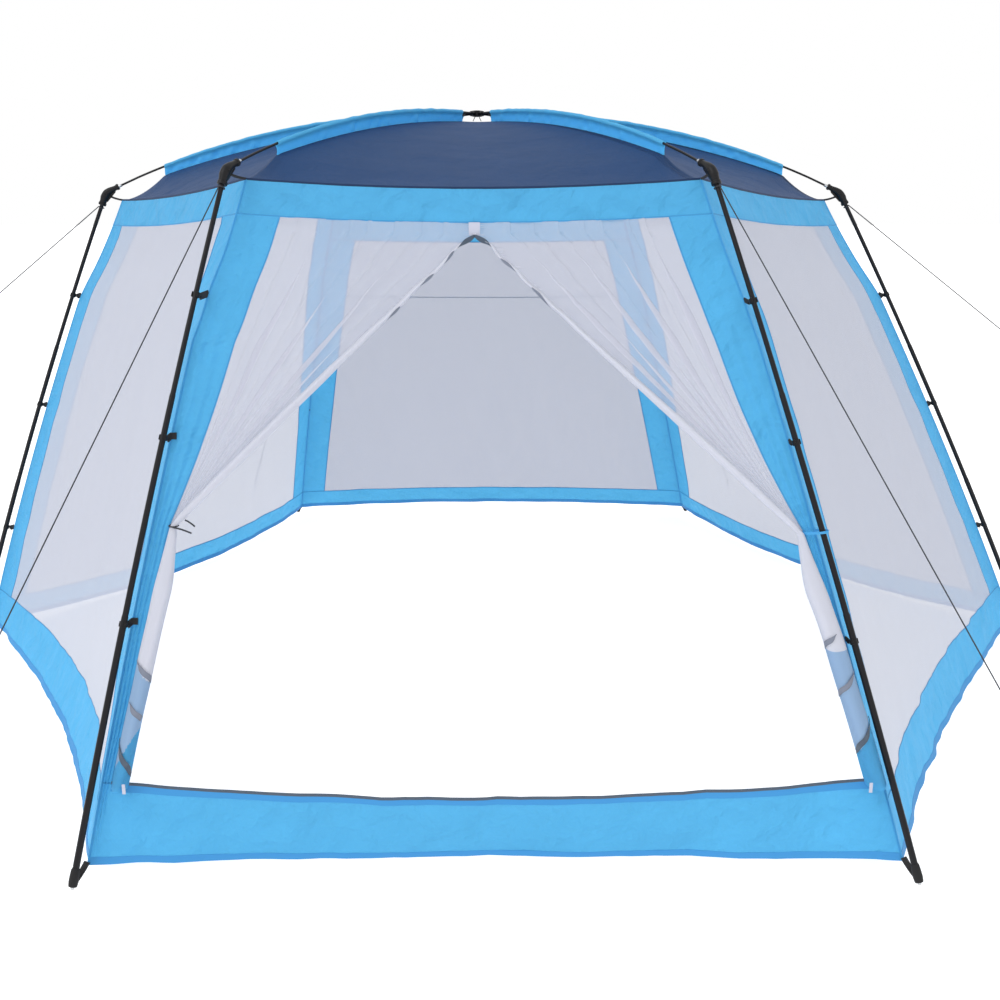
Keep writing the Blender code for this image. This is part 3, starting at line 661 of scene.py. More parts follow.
# The wall borders.
# Light blue coated polyester, sewn as one frame a side: a header under the eave, a strip down
# each corner and a skirt along the ground, which is a taller sill in the doorway.

WALLS = ("back_right", "back", "back_left", "front_left", "front", "front_right")
FRONT = 4
EAVE_SAG = {"front": 0.030, "others": 0.018}
# Rows are shares of a wall's height, from 0 at the eave to 1 at the hem.
HEADER_ROW = 0.055
HEADER_ROWS = {"back": 0.145, "others": HEADER_ROW}
TIE_ROWS = {"left": 0.518, "right": 0.532}
SILL_ROW = 0.885
SKIRT_ROWS = {"front": SILL_ROW, "front_left": 0.915, "front_right": 0.915, "others": 0.945}
SILL_SAG = 0.045
SILL_SAG_POWER = 3
STRIP_WIDTH = 0.145
TIED_STRIP_WIDTHS = {"left": 0.055, "right": 0.034}
LOW_STRIP_WIDTHS = {"left": 0.030, "right": 0.004}
STRIP_PULL_POWERS = {"left": 2.5, "right": 3}
HEM_MIDDLE_HEIGHT = {"back": 0.100, "others": 0.008}
SKIRT_BOW = {"front": 0.0, "front_left": 0.155, "front_right": 0.08, "back": 0.047, "others": 0.142}
HEM_BOW = {"front": 0.11, "front_left": 0.11, "front_right": 0.065, "back": 0.05, "others": 0.15}
WALL_EDGE = 0.0012
STRIP_COLUMNS = {"front": 36, "others": 8}
MIDDLE_COLUMNS = 66
HEADER_STEPS = 6
MIDDLE_STEPS = 70
SKIRT_STEPS = 10
EDGE_FADE = 0.055
EAVE_FADE = 0.03
FOLD_DEPTH = 0.0120
FOLD_SPACING = 0.20
FOLD_STRETCH = 0.55
FOLD_ONSET = 6.0
FINE_FOLDS = ((1.0, 1.0, 0.0), (0.4, 2.7, 3.0))
HOOK_RIDGE = 0.0040
HOOK_RIDGE_REACH = 0.17
HOOK_RIDGE_START = 0.03
HOOK_RIDGE_COUNT = 5
HOOK_RIDGE_TURN = 9.0
HEADER_CREASE = 0.0075
HEADER_CREASE_ROWS = 0.04
SKIRT_CREASE = 0.0085
SKIRT_CREASE_ROWS = 0.04
PLEAT_COUNT = 3
PLEAT_LIMIT = 0.0028
PLEAT_SHARE = 0.62
PLEAT_FADE_ROWS = 0.10
PLEAT_WANDER = 0.35
PLEAT_ROUNDING = 0.6
TRIM_COLOUR = (0.103, 0.484, 0.825)
WEAVE_SIZE = 0.0016
WEAVE_WAVE = 0.32
WEAVE_WARP = (0.16, 0.16, 0.16)
WEAVE_RIB_SHARE = 0.02
WEAVE_FINE_SHARE = 0.55
WEAVE_TONE = (0.16, 0.92)
CREASE_SIZE = 0.085
TINY = 1e-9


def skirt_row(wall):
    return pick(SKIRT_ROWS, WALLS[wall])


def header_row(wall):
    """Where a wall's header ends; it is deeper on the back wall."""
    return pick(HEADER_ROWS, WALLS[wall])


def strip_columns(wall):
    return pick(STRIP_COLUMNS, WALLS[wall])


def wall_bow(wall, row):
    """How far the middle of a wall is drawn inward at a row."""
    skirt = skirt_row(wall)
    at_skirt = pick(SKIRT_BOW, WALLS[wall])
    if row <= skirt:
        return at_skirt * row / skirt
    return at_skirt + (pick(HEM_BOW, WALLS[wall]) - at_skirt) * (row - skirt) / (1.0 - skirt)


def wall_length(wall, row):
    return (seam_point(wall + 1, row) - seam_point(wall, row)).length


def inward(wall):
    """Unit vector from a wall towards the middle of the tent."""
    return -(outward(wall) + outward(wall + 1)).normalized()


def wall_point(wall, across, row):
    """A point on a smooth wall: across runs from corner to corner, row from eave to hem."""
    point = seam_point(wall, row).lerp(seam_point(wall + 1, row), across)
    middle = 4.0 * across * (1.0 - across)
    in_skirt = max(0.0, (row - skirt_row(wall)) / (1.0 - skirt_row(wall)))
    if wall == FRONT:
        point.z -= SILL_SAG * (1.0 - in_skirt) * row ** SILL_SAG_POWER * middle
    point += inward(wall) * wall_bow(wall, row) * middle
    point.z -= pick(EAVE_SAG, WALLS[wall]) * (1.0 - row) * middle
    point.z += (pick(HEM_MIDDLE_HEIGHT, WALLS[wall]) - HEM_CORNER_HEIGHT) * row ** 3 * middle
    return point


def strip_width(wall, row, side):
    """Width of the corner strips, which the tied door pulls narrow on the front wall."""
    if wall != FRONT or row <= HEADER_ROW:
        return STRIP_WIDTH
    tie, tied = TIE_ROWS[side], TIED_STRIP_WIDTHS[side]
    if row <= tie:
        pull = ((row - HEADER_ROW) / (tie - HEADER_ROW)) ** STRIP_PULL_POWERS[side]
        return STRIP_WIDTH + (tied - STRIP_WIDTH) * pull
    return tied + (LOW_STRIP_WIDTHS[side] - tied) * min(1.0, (row - tie) / (SILL_ROW - tie))


def wall_rows(wall):
    """Rows of a wall from eave to hem, with its header's and its skirt's edges among them."""
    header, skirt = header_row(wall), skirt_row(wall)
    rows = [header * share for share in steps(HEADER_STEPS)[:-1]]
    rows += [header + (skirt - header) * share for share in steps(MIDDLE_STEPS)[:-1]]
    return rows + [skirt + (1.0 - skirt) * share for share in steps(SKIRT_STEPS)]


def wall_shares(wall, row):
    """Places across a wall, with the strips' inner edges among them."""
    length = wall_length(wall, row)
    edge = WALL_EDGE / length
    left, right = [strip_width(wall, row, side) / length for side in ("left", "right")]
    in_strip = steps(strip_columns(wall))[:-1]
    first = [edge + (left - edge) * share for share in in_strip]
    middle = [left + (1.0 - left - right) * share for share in steps(MIDDLE_COLUMNS)]
    last = [1.0 - edge - (right - edge) * share for share in in_strip]
    return first + middle + last[::-1]


def pleat_depth(flat, room, count):
    """How deep count folds are that take flat metres of cloth into room metres."""
    squeeze = max(1.0, flat / room)
    return room / count / 4.0 * (squeeze * squeeze - 1.0) ** 0.5


def strip_pleats(wall, across, row):
    """The gathers that the tied door makes in the front wall's strips."""
    if wall != FRONT or row <= HEADER_ROW:
        return 0.0
    room = strip_width(wall, row, "left" if across < 0.5 else "right")
    from_seam = min(across, 1.0 - across) * wall_length(wall, row) / room
    if from_seam >= 1.0:
        return 0.0
    fade = min(1.0, (1.0 - row) / PLEAT_FADE_ROWS) if row > SILL_ROW else 1.0
    wander = PLEAT_WANDER * noise.noise(Vector((row * 7.0, across * 3.0, 4.0)))
    wave = sin(2.0 * pi * (PLEAT_COUNT * from_seam + wander * sin(pi * from_seam)))
    depth = min(PLEAT_LIMIT, PLEAT_SHARE * pleat_depth(STRIP_WIDTH, room, PLEAT_COUNT))
    return depth * wave * sin(pi * from_seam) ** PLEAT_ROUNDING * fade


def hook_ridges(wall, over, down, length):
    """Ridges that spread over the cloth from the hooks on both of a wall's legs."""
    height = connector(wall).z
    depth = 0.0
    for corner, beside in ((wall, over), (wall + 1, length - over)):
        for hook in hook_heights(corner):
            drop = down - (height - hook)
            reach = (beside * beside + drop * drop) ** 0.5
            if reach < HOOK_RIDGE_REACH * 4.0:
                ridge = cos(HOOK_RIDGE_COUNT * atan2(drop, beside) + hook * HOOK_RIDGE_TURN + corner)
                near = 1.0 - exp(-reach / HOOK_RIDGE_START)
                depth += HOOK_RIDGE * ridge * near * exp(-reach / HOOK_RIDGE_REACH)
    return depth


def header_creases(wall, over, down, row):
    """Slanting and upright creases in the header, and a little way below it."""
    low = HEADER_ROW + HEADER_CREASE_ROWS
    if row >= low:
        return 0.0
    shape = min(1.0, row / 0.02) * min(1.0, (low - row) / 0.03)
    slanted = noise.noise(Vector((over * 2.6 + down * 4.0, down * 24.0 - over * 11.0, wall * 3.1)))
    upright = noise.noise(Vector((over * 7.0, down * 9.0, wall * 5.1)))
    return HEADER_CREASE * shape * (slanted + upright)


def skirt_creases(wall, over, down, row, across):
    """Creases that slant through the skirt from its corners, with finer ones on them."""
    high = skirt_row(wall) - SKIRT_CREASE_ROWS
    if row <= high:
        return 0.0
    shape = min(1.0, (row - high) / 0.05)
    side = 1.0 if across < 0.5 else -1.0
    slanted = noise.noise(Vector((over * 1.6 + side * down * 2.8, down * 11.0 - side * over * 4.5,
                                  wall * 2.2)))
    fine = noise.noise(Vector((over * 9.0, down * 13.0, wall)))
    return SKIRT_CREASE * shape * (slanted + 0.5 * fine)


def relief(wall, across, row):
    """Folds of a wall, as a distance inward from the smooth wall."""
    length = wall_length(wall, row)
    over, down = across * length, row * connector(wall).z
    fade = min(1.0, min(over, length - over) / EDGE_FADE) * min(1.0, down / EAVE_FADE)
    hang = min(1.0, max(0.0, row - HEADER_ROW) * FOLD_ONSET)
    place = Vector((over / FOLD_SPACING, down * FOLD_STRETCH, wall * 7.3))
    depth = sum(share * FOLD_DEPTH * hang * noise.noise(place * scale + UP * shift)
                for share, scale, shift in FINE_FOLDS)
    depth += hook_ridges(wall, over, down, length)
    depth += header_creases(wall, over, down, row)
    depth += skirt_creases(wall, over, down, row, across)
    return depth * fade + strip_pleats(wall, across, row)


def cloth_point(wall, across, row):
    return wall_point(wall, across, row) + inward(wall) * relief(wall, across, row)


def lay_cloth(wall, rows, shares, finish=None):
    """A pattern of a wall's cloth, on its rows and on the places across each of them."""
    laid = Pattern()
    height = connector(wall).z
    laid.grid([[cloth_point(wall, across, row) for across in places] for places, row in zip(shares, rows)],
              [[(across * wall_length(wall, row), row * height) for across in places]
               for places, row in zip(shares, rows)], finish)
    return laid


# Weave: the fine ribs of woven cloth and the sharp little creases of a tent out of its bag.
weave, weave_in, weave_out = new_group(
    "weave", {"Thread": WEAVE_SIZE, "Crease": CREASE_SIZE, "Creasing": 1.0}, ("Height", "Tone"))
weave_place = add_node(weave, "UVMap", uv_map="flat").outputs["UV"]
weave_ribs = add_node(weave, "TexWave", {
    "Vector": weave_place, "Scale": calculate(weave, "DIVIDE", WEAVE_WAVE, weave_in["Thread"])},
    bands_direction="Y")
weave_warp = add_node(weave, "TexNoise", {"Vector": weave_place, "Scale": 5.0, "Detail": 4.0})
weave_bend = add_node(weave, "VectorMath", {0: weave_warp.outputs["Color"], 1: WEAVE_WARP, 2: weave_place},
                      operation="MULTIPLY_ADD").outputs[0]
weave_cells = add_node(weave, "TexVoronoi", feature="SMOOTH_F1")
weave_cells.inputs["Smoothness"].default_value = 0.35
feed(weave, weave_cells.inputs["Vector"], weave_bend)
feed(weave, weave_cells.inputs["Scale"], calculate(weave, "DIVIDE", 1.0, weave_in["Crease"]))
weave_fine = add_node(weave, "TexNoise", {"Vector": weave_bend, "Scale": 26.0, "Detail": 3.0})
weave_height = calculate(weave, "MULTIPLY_ADD", weave_fine.outputs["Fac"], WEAVE_FINE_SHARE,
                         weave_cells.outputs["Distance"])
weave_height = calculate(weave, "MULTIPLY", weave_height, weave_in["Creasing"])
weave_height = calculate(weave, "MULTIPLY_ADD", weave_ribs.outputs["Fac"], WEAVE_RIB_SHARE, weave_height)
feed(weave, weave_out["Height"], weave_height)
feed(weave, weave_out["Tone"], calculate(weave, "MULTIPLY_ADD", weave_warp.outputs["Fac"], *WEAVE_TONE))


def woven(name, colour, roughness, gloss, creasing, depth, glow, crease=CREASE_SIZE):
    """A cloth material with the weave's bump. glow is the share of light that comes through."""
    made, tree, shader = new_material(name, colour, roughness, gloss=gloss)
    cloth = add_node(tree, "Group", node_tree=weave)
    for label, value in (("Thread", WEAVE_SIZE), ("Crease", crease), ("Creasing", creasing)):
        cloth.inputs[label].default_value = value
    tint = add_node(tree, "Mix", {"Factor": 1.0, "A": (*colour, 1.0), "B": cloth.outputs["Tone"]},
                    data_type="RGBA", blend_type="MULTIPLY").outputs["Result"]
    feed(tree, shader.inputs["Base Color"], tint)
    normal = add_bump(tree, shader, cloth.outputs["Height"], depth)
    through = add_node(tree, "BsdfTranslucent", {"Color": tint, "Normal": normal})
    mixed = add_node(tree, "MixShader", {"Fac": glow, 1: shader.outputs["BSDF"], 2: through.outputs["BSDF"]})
    feed(tree, tree.nodes["Material Output"].inputs["Surface"], mixed.outputs[0])
    return made


trim_cloth = woven("light_blue_cloth", TRIM_COLOUR, roughness=0.55, gloss=0.30, creasing=1.0, depth=0.019,
                   glow=0.42)

for wall, name in enumerate(WALLS):
    rows = wall_rows(wall)
    strip = strip_columns(wall)
    shares = [wall_shares(wall, row) for row in rows]
    last = len(shares[0]) - 1
    in_opening = [header_row(wall) - TINY < row < skirt_row(wall) - TINY for row in rows]
    border = lay_cloth(wall, rows, shares, lambda row, column: (
        None if in_opening[row] and strip <= column < last - strip else 0))
    for row, below, opened in zip(rows, rows[1:], in_opening):
        width = 2.0 * STRIP_WIDTH if opened else wall_length(wall, row)
    made_border = piece(f"border_cloth_{name}", border, [trim_cloth],
                        node=f"wall_border_{name}")


# The seams and the hems.
# Every panel is joined by a lapped seam, which shows as a thin darker line, and the hem and
# the top of the doorway's sill are turned over, which doubles the cloth.

SEAM_WIDTH = 0.0045
SEAM_THICKNESS = 0.0026
SEAM_COLOUR = (0.055, 0.300, 0.600)
HEM_COLOUR = (0.060, 0.330, 0.700)
CORNER_SEAM_WIDTH = 0.008
CORNER_SEAM_INSET = 0.002
CORNER_SEAM_STEPS = 60
CORNER_SEAM_SIDES = 6
BAND_ROWS = 0.011
BAND_THICKNESS = 0.0020

seam_cloth = woven("seam_cloth", SEAM_COLOUR, roughness=0.60, gloss=0.25, creasing=0.3, depth=0.004,
                   glow=0.10)
hem_cloth = woven("hem_cloth", HEM_COLOUR, roughness=0.58, gloss=0.28, creasing=0.8, depth=0.006, glow=0.22)


def across_line(wall, row, start=0, end=None):
    """Points of the cloth along a row, between two of its columns."""
    return [cloth_point(wall, across, row) for across in wall_shares(wall, row)[start:end]]


def rows_between(wall, first, last):
    """The rows of a wall from one row to another, with both among them."""
    return [row for row in wall_rows(wall) if first - TINY <= row <= last + TINY]


def lay_seam(pattern, path, side, finish=0):
    pattern.loft(ribbon(path, side, SEAM_WIDTH, SEAM_THICKNESS), finish)


def lay_band(pattern, upper, lower, out, finish):
    """A thin flat band between two lines of points, on both faces of the cloth."""
    reach = out * BAND_THICKNESS / 2.0
    pattern.loft([[a - reach, a + reach, b + reach, b - reach] for a, b in zip(upper, lower)], finish)


for wall, name in enumerate(WALLS):
    header, skirt, strip = header_row(wall), skirt_row(wall), strip_columns(wall)
    out = -inward(wall)
    lines = Pattern()
    lay_seam(lines, across_line(wall, header), UP)
    lay_seam(lines, across_line(wall, skirt), UP)
    for column in (strip, -1 - strip):
        lay_seam(lines, [cloth_point(wall, wall_shares(wall, row)[column], row)
                         for row in rows_between(wall, header, skirt)], out.cross(UP))
    lay_band(lines, across_line(wall, 1.0 - BAND_ROWS), across_line(wall, 1.0), out, 1)
    if wall == FRONT:
        upper, lower = [across_line(wall, row, strip, -strip) for row in (skirt, skirt + BAND_ROWS)]
        lay_band(lines, upper, lower, out, 1)
    piece(f"wall_seams_{name}", lines, [seam_cloth, hem_cloth])

for corner, name in enumerate(CORNERS):
    corner_seam = Pattern()
    path = [seam_point(corner, row) for row in steps(CORNER_SEAM_STEPS)]
    corner_seam.loft(sweep(path, SEAM_THICKNESS, CORNER_SEAM_SIDES))
    corner_seam.loft(ribbon([point - outward(corner) * CORNER_SEAM_INSET for point in path],
                            outward(corner).cross(UP), CORNER_SEAM_WIDTH, SEAM_THICKNESS))
    piece(f"corner_seam_{name}", corner_seam, [trim_cloth])


# The wall meshes.
# Fine white polyester net, one panel a side, sewn into its border. Its threads are finer than
# the picture can show, so it reads as a pale veil with soft hanging folds.

SIDE_NET_COLOUR = (0.54, 0.555, 0.625)
# The back net is the same white net as the sides, painted darker as painted shade of the tent's inside.
BACK_NET_PAINTED_SHADE_COLOUR = (0.34, 0.37, 0.47)
FLAP_NET_COLOUR = (0.60, 0.61, 0.69)
# The rolled net is the flap's own net: its denser cover stands for its many layers, and its lighter colour
# is painted light on the bundle.
ROLLED_NET_PAINTED_LIGHT_COLOUR = (0.77, 0.785, 0.86)
# The folded net is the flap's own net: its denser cover stands for the lapped layers, and its lighter colour
# is a painted highlight on the fold streaks.
FOLDED_NET_PAINTED_HIGHLIGHT_COLOUR = (0.70, 0.71, 0.79)
VEILED_HEM_COLOUR = (0.38, 0.55, 0.76)
NET_TAPE_COLOUR = (0.46, 0.50, 0.56)
NET_ROUGHNESS = 0.75
NET_GLOSS = 0.15
NET_MESH = 0.0018
NET_WAVE_FLOOR = -0.35
NET_WAVE_SOFTNESS = 0.3
NET_WAVE_RANGE = {"From Min": -0.3, "From Max": 0.9}
NET_SEAM_ROW = 0.300
NET_SEAM_WIDTH = 0.006


def netting(name, colour, holes, threads, glow):
    """A net's material: its threads hide more than its holes, and some light comes through."""
    made, tree, shader = new_material(name, colour, NET_ROUGHNESS, gloss=NET_GLOSS)
    place = add_node(tree, "UVMap", uv_map="flat").outputs["UV"]
    split = add_node(tree, "SeparateXYZ", {0: place})
    waves = []
    for axis in ("X", "Y"):
        turns = calculate(tree, "MULTIPLY", split.outputs[axis], 2.0 * pi / NET_MESH)
        wave = calculate(tree, "SINE", turns)
        waves.append(calculate(tree, "SMOOTH_MAX", wave, NET_WAVE_FLOOR, NET_WAVE_SOFTNESS))
    cover = add_node(tree, "MapRange", {"Value": calculate(tree, "MAXIMUM", *waves), **NET_WAVE_RANGE,
                                        "To Min": holes, "To Max": threads}).outputs["Result"]
    through = add_node(tree, "BsdfTranslucent", {"Color": (*colour, 1.0)}).outputs["BSDF"]
    clear = add_node(tree, "BsdfTransparent").outputs["BSDF"]
    cloth = add_node(tree, "MixShader", {"Fac": glow, 1: shader.outputs["BSDF"], 2: through}).outputs[0]
    veil = add_node(tree, "MixShader", {"Fac": cover, 1: clear, 2: cloth}).outputs[0]
    feed(tree, tree.nodes["Material Output"].inputs["Surface"], veil)
    return made


net_tape, _, _ = new_material("net_tape", NET_TAPE_COLOUR, NET_ROUGHNESS)
side_net = netting("side_net", SIDE_NET_COLOUR, holes=0.66, threads=0.95, glow=0.30)
# The back net's darker colour is painted shade; its cover and glow are those of the net.
back_net_painted_shade = netting("back_net_painted_shade", BACK_NET_PAINTED_SHADE_COLOUR, holes=0.60, threads=0.95, glow=0.30)
flap_net = netting("flap_net", FLAP_NET_COLOUR, holes=0.30, threads=0.80, glow=0.40)
rolled_net_painted_light = netting("rolled_net_painted_light", ROLLED_NET_PAINTED_LIGHT_COLOUR, holes=0.90, threads=0.99, glow=0.42)
folded_net_painted_highlight = netting("folded_net_painted_highlight", FOLDED_NET_PAINTED_HIGHLIGHT_COLOUR, holes=0.50, threads=0.88, glow=0.40)
veiled_hem = netting("veiled_hem", VEILED_HEM_COLOUR, holes=0.90, threads=0.99, glow=0.40)

for wall, name in enumerate(WALLS):
    if wall == FRONT:
        continue
    header, skirt, strip = header_row(wall), skirt_row(wall), strip_columns(wall)
    rows = rows_between(wall, header, skirt)
    panel = lay_cloth(wall, rows, [wall_shares(wall, row)[strip:-strip] for row in rows])
    made_panel = piece(f"net_panel_{name}", panel, [back_net_painted_shade if name == "back" else side_net],
                       node=f"wall_mesh_{name}")
    top, low = [wall_length(wall, row) - 2.0 * STRIP_WIDTH for row in (header, skirt)]
    if name == "back":
        joint = Pattern()
        row = min(rows, key=lambda value: abs(value - NET_SEAM_ROW))
        joint.loft(ribbon(across_line(wall, row, strip, -strip), UP, NET_SEAM_WIDTH, SEAM_THICKNESS))
        piece("net_seam_back", joint, [net_tape])


# The door flaps.
# Two panels of the same net, sewn to the header and to the front strips. Each is drawn aside
# and rolled up along its free edge, tied at its leg, and the roll hangs on below the tie.

DOORWARD = {"left": 1.0, "right": -1.0}
FLAP_APEX_ROW = 0.076
APEX_SHIFT = 0.001
# Each of a flap's own folds has a share of the flap's width, a row that it starts at and a width.
FLAP_FOLDS = {"left": ((0.10, 0.30, 0.014), (0.22, 0.10, 0.024), (0.36, 0.34, 0.014), (0.47, 0.16, 0.030),
                       (0.60, 0.28, 0.016), (0.73, 0.12, 0.022), (0.85, 0.22, 0.016)),
              "right": ((0.12, 0.08, 0.028), (0.21, 0.36, 0.014), (0.34, 0.10, 0.034), (0.45, 0.24, 0.018),
                        (0.57, 0.08, 0.024), (0.70, 0.20, 0.018), (0.82, 0.09, 0.028))}
FOLD_LAYER = 0.0016
FOLD_GROWTH = 0.16
FOLD_SHARE = 0.065
FOLD_WAVE = 0.020
FOLD_WAVE_SEED = {"left": 1.0, "right": 3.0}
FOLD_ROOM = 0.20
FOLD_THIN = 0.3
FLAP_GAP_COLUMNS = 4
FLAP_ROWS = 128
FLAP_TAIL_START = 0.69
FLAP_TAIL_ROWS = 80
FLAP_TURNS = 8
OUTER_TURNS = 1.5
OUTER_TURN_STEPS = 44
INNER_TURN_STEPS = 10
EDGE_DIP = 0.020
EDGE_DIP_START = 0.012
EDGE_DIP_ROWS = 0.080
EDGE_WAVES = {"left": 0.060, "right": 0.038}
EDGE_WAVE_START = 0.4
EDGE_WAVE_SHARE = 0.4
ROLL_START = 0.0022
ROLL_GROWTH = 0.6
ROLL_TIED = 0.0165
ROLL_BULGE = 0.0080
ROLL_BULGE_POWER = 1.5
ROLL_TAIL = {"left": 0.0300, "right": 0.0355}
ROLL_TAIL_SHARE = 0.26
ROLL_TAPER = {"left": 0.0030, "right": 0.0010}
ROLL_CORE = 0.18
ROLL_SQUEEZE = 0.24
ROLL_SQUEEZE_ROWS = 0.014
ROLL_CLEARANCE = 0.003
ROLL_DENT_RADIUS = 0.01
TAIL_SHIFT = {"left": 0.0, "right": 0.014}
TAIL_SHIFT_ROWS = 0.15
STREAK = 0.0075
STREAK_ROOM = 0.42
STREAK_SEED = {"left": 2.0, "right": 6.0}
STREAK_ORIGIN = 0.05
SEWN_FOLD_REACH = 6.0
FLAP_VEIL = {"left": (0.735, -0.030), "right": (0.690, 0.0)}
FLAP_HEM = {"left": (0.797, 0.060), "right": (0.838, -0.049)}
FLAP_SHARP = 80.0


def roll_radius(side, row):
    """Radius of the roll that a flap's spare cloth makes along its free edge."""
    tie = TIE_ROWS[side]
    above = min(1.0, max(0.0, (row - FLAP_APEX_ROW) / (tie - FLAP_APEX_ROW)))
    below = max(0.0, (row - tie) / (SILL_ROW - tie))
    radius = ROLL_START + (ROLL_TIED - ROLL_START) * above ** ROLL_GROWTH
    radius += ROLL_BULGE * sin(pi * above ** ROLL_BULGE_POWER)
    radius += (ROLL_TAIL[side] - ROLL_TIED) * smooth_step(below / ROLL_TAIL_SHARE)
    radius -= ROLL_TAPER[side] * below
    return radius * (1.0 - ROLL_SQUEEZE * exp(-((row - tie) / ROLL_SQUEEZE_ROWS) ** 2))


def edge_dip(side, row):
    """How far the free edge hangs back from a straight line, in waves that die out down it."""
    below = max(0.0, row - FLAP_APEX_ROW)
    wave = cos(2.0 * pi * (below / EDGE_WAVES[side] - EDGE_WAVE_START))
    wave = 1.0 - EDGE_WAVE_SHARE + EDGE_WAVE_SHARE * wave
    return EDGE_DIP * smooth_step(below / EDGE_DIP_START) * exp(-below / EDGE_DIP_ROWS) * wave


def flap_room(side, row):
    """Width from the strip to the free edge: half the doorway at its top, a bunch at the tie."""
    tie = TIE_ROWS[side]
    bunch = 2.0 * roll_radius(side, row) + ROLL_CLEARANCE
    if row >= tie:
        return bunch - TAIL_SHIFT[side] * smooth_step((row - tie) / TAIL_SHIFT_ROWS)
    half_here, half_tie = [wall_length(FRONT, at) / 2.0 + APEX_SHIFT * DOORWARD[side] for at in (row, tie)]
    share = max(0.0, (row - FLAP_APEX_ROW) / (tie - FLAP_APEX_ROW))
    tied = half_tie - TIED_STRIP_WIDTHS[side] - 2.0 * roll_radius(side, tie) - ROLL_CLEARANCE
    return max(bunch, half_here - strip_width(FRONT, row, side) - share * tied - edge_dip(side, row))


def flap_across(side, row, over):
    """The place across the front wall that lies a distance inside a strip's inner edge."""
    across = (strip_width(FRONT, row, side) + over) / wall_length(FRONT, row)
    return across if side == "left" else 1.0 - across


def on_flap(side, row, over):
    """The smooth wall behind a flap, at a distance from the strip's inner edge."""
    return wall_point(FRONT, flap_across(side, row, over), row)


def free_edge(side, row):
    return on_flap(side, row, flap_room(side, row))


def roll_point(side, row, turn, radius):
    """A point round the roll. Turn 0 faces outward and a quarter turn faces the doorway."""
    full = roll_radius(side, row)
    centre = on_flap(side, row, flap_room(side, row) - full) - inward(FRONT) * full
    return arc(centre, -inward(FRONT), Vector((DOORWARD[side], 0.0, 0.0)), radius, (turn,))[0]


def roll_surface(side, row, turn):
    """The roll's own radius at a turn, with the dents of crumpled net."""
    full = roll_radius(side, row)
    spin = 2.0 * pi * turn
    dent = 0.09 * sin(3.0 * spin + 9.0 * row)
    dent += 0.10 * noise.noise(Vector((cos(spin), sin(spin), row * 14.0)))
    return full * (1.0 + dent * min(1.0, full / ROLL_DENT_RADIUS))


def flap_columns(side, row, straight):
    """Places over the flap at a row, each with its layer. A fold lays the net over three times."""
    places = [(0.0, 0.0)]
    last = 0.0
    for share, start, width in FLAP_FOLDS[side]:
        grown = smooth_step((row - start) / FOLD_GROWTH) if row < TIE_ROWS[side] else 0.0
        half = min(width, straight * FOLD_SHARE) * grown / 2.0
        share += FOLD_WAVE * noise.noise(Vector((row * 9.0, share * 20.0, FOLD_WAVE_SEED[side])))
        here = straight * share
        places += [(last + (here + half - last) * part, 0.0) for part in steps(FLAP_GAP_COLUMNS)[1:]]
        last = here + half * 1.1
        places += [(here - half, 1.0), (here - half * 0.9, 2.0), (last, 2.0)]
    return places + [(last + (straight - last) * part, 0.0) for part in steps(FLAP_GAP_COLUMNS)[1:-1]]


def flap_lift(side, row, over, straight, layer):
    """How far a flap's net lies inside the smooth wall: its streaks, its seam's folds and its layers."""
    share = over / straight
    lift = 0.0
    if row < TIE_ROWS[side]:
        drop = (TIE_ROWS[side] + STREAK_ORIGIN - row) * CONNECTOR_HEIGHT
        spin = over / max(0.05, drop)
        lift = STREAK * noise.noise(Vector((spin * 9.0, drop * 1.4, STREAK_SEED[side])))
        lift *= sin(pi * min(1.0, share * 1.02)) * min(1.0, straight / STREAK_ROOM)
    sewn = 1.0 - min(1.0, share * SEWN_FOLD_REACH)
    lift += relief(FRONT, flap_across(side, row, over), row) * sewn
    return lift - FOLD_LAYER * layer * (FOLD_THIN + (1.0 - FOLD_THIN) * min(1.0, straight / FOLD_ROOM))


def flap_row(side, row):
    """One row of a flap's points and its places on the flat net."""
    straight = flap_room(side, row) - roll_radius(side, row)
    points, places = [], []
    run = 0.0
    for over, layer in flap_columns(side, row, straight):
        points.append(on_flap(side, row, over) + inward(FRONT) * flap_lift(side, row, over, straight, layer))
        run += (points[-1] - points[-2]).length if len(points) > 1 else 0.0
        places.append((run, row * CONNECTOR_HEIGHT))
    outer = [step / OUTER_TURN_STEPS for step in range(int(OUTER_TURNS * OUTER_TURN_STEPS))]
    inner = [OUTER_TURNS + step / INNER_TURN_STEPS
             for step in range(int((FLAP_TURNS - OUTER_TURNS) * INNER_TURN_STEPS) + 1)]
    past = 0.0
    for gone in outer + inner:
        turn = 0.5 - gone
        radius = roll_surface(side, row, turn) * (1.0 - (1.0 - ROLL_CORE) * gone / FLAP_TURNS)
        points.append(roll_point(side, row, turn, radius))
        run += 2.0 * pi * radius * (gone - past)
        past = gone
        places.append((run, row * CONNECTOR_HEIGHT))
    return points, places


FLAT, HEM, ROLLED, VEILED, FOLDED = range(5)
FLAP_FINISHES = [flap_net, trim_cloth, rolled_net_painted_light, veiled_hem, folded_net_painted_highlight]


def flap_finish(side, row, point, plain):
    """Which net a cell is. The blue hem and its veil show on the tail, along slanting edges."""
    from_edge = min(1.0, abs(free_edge(side, row).x - point.x) / (2.0 * roll_radius(side, row)))
    for finish, (start, slant) in ((HEM, FLAP_HEM[side]), (VEILED, FLAP_VEIL[side])):
        if row > start + slant * from_edge:
            return finish
    return plain


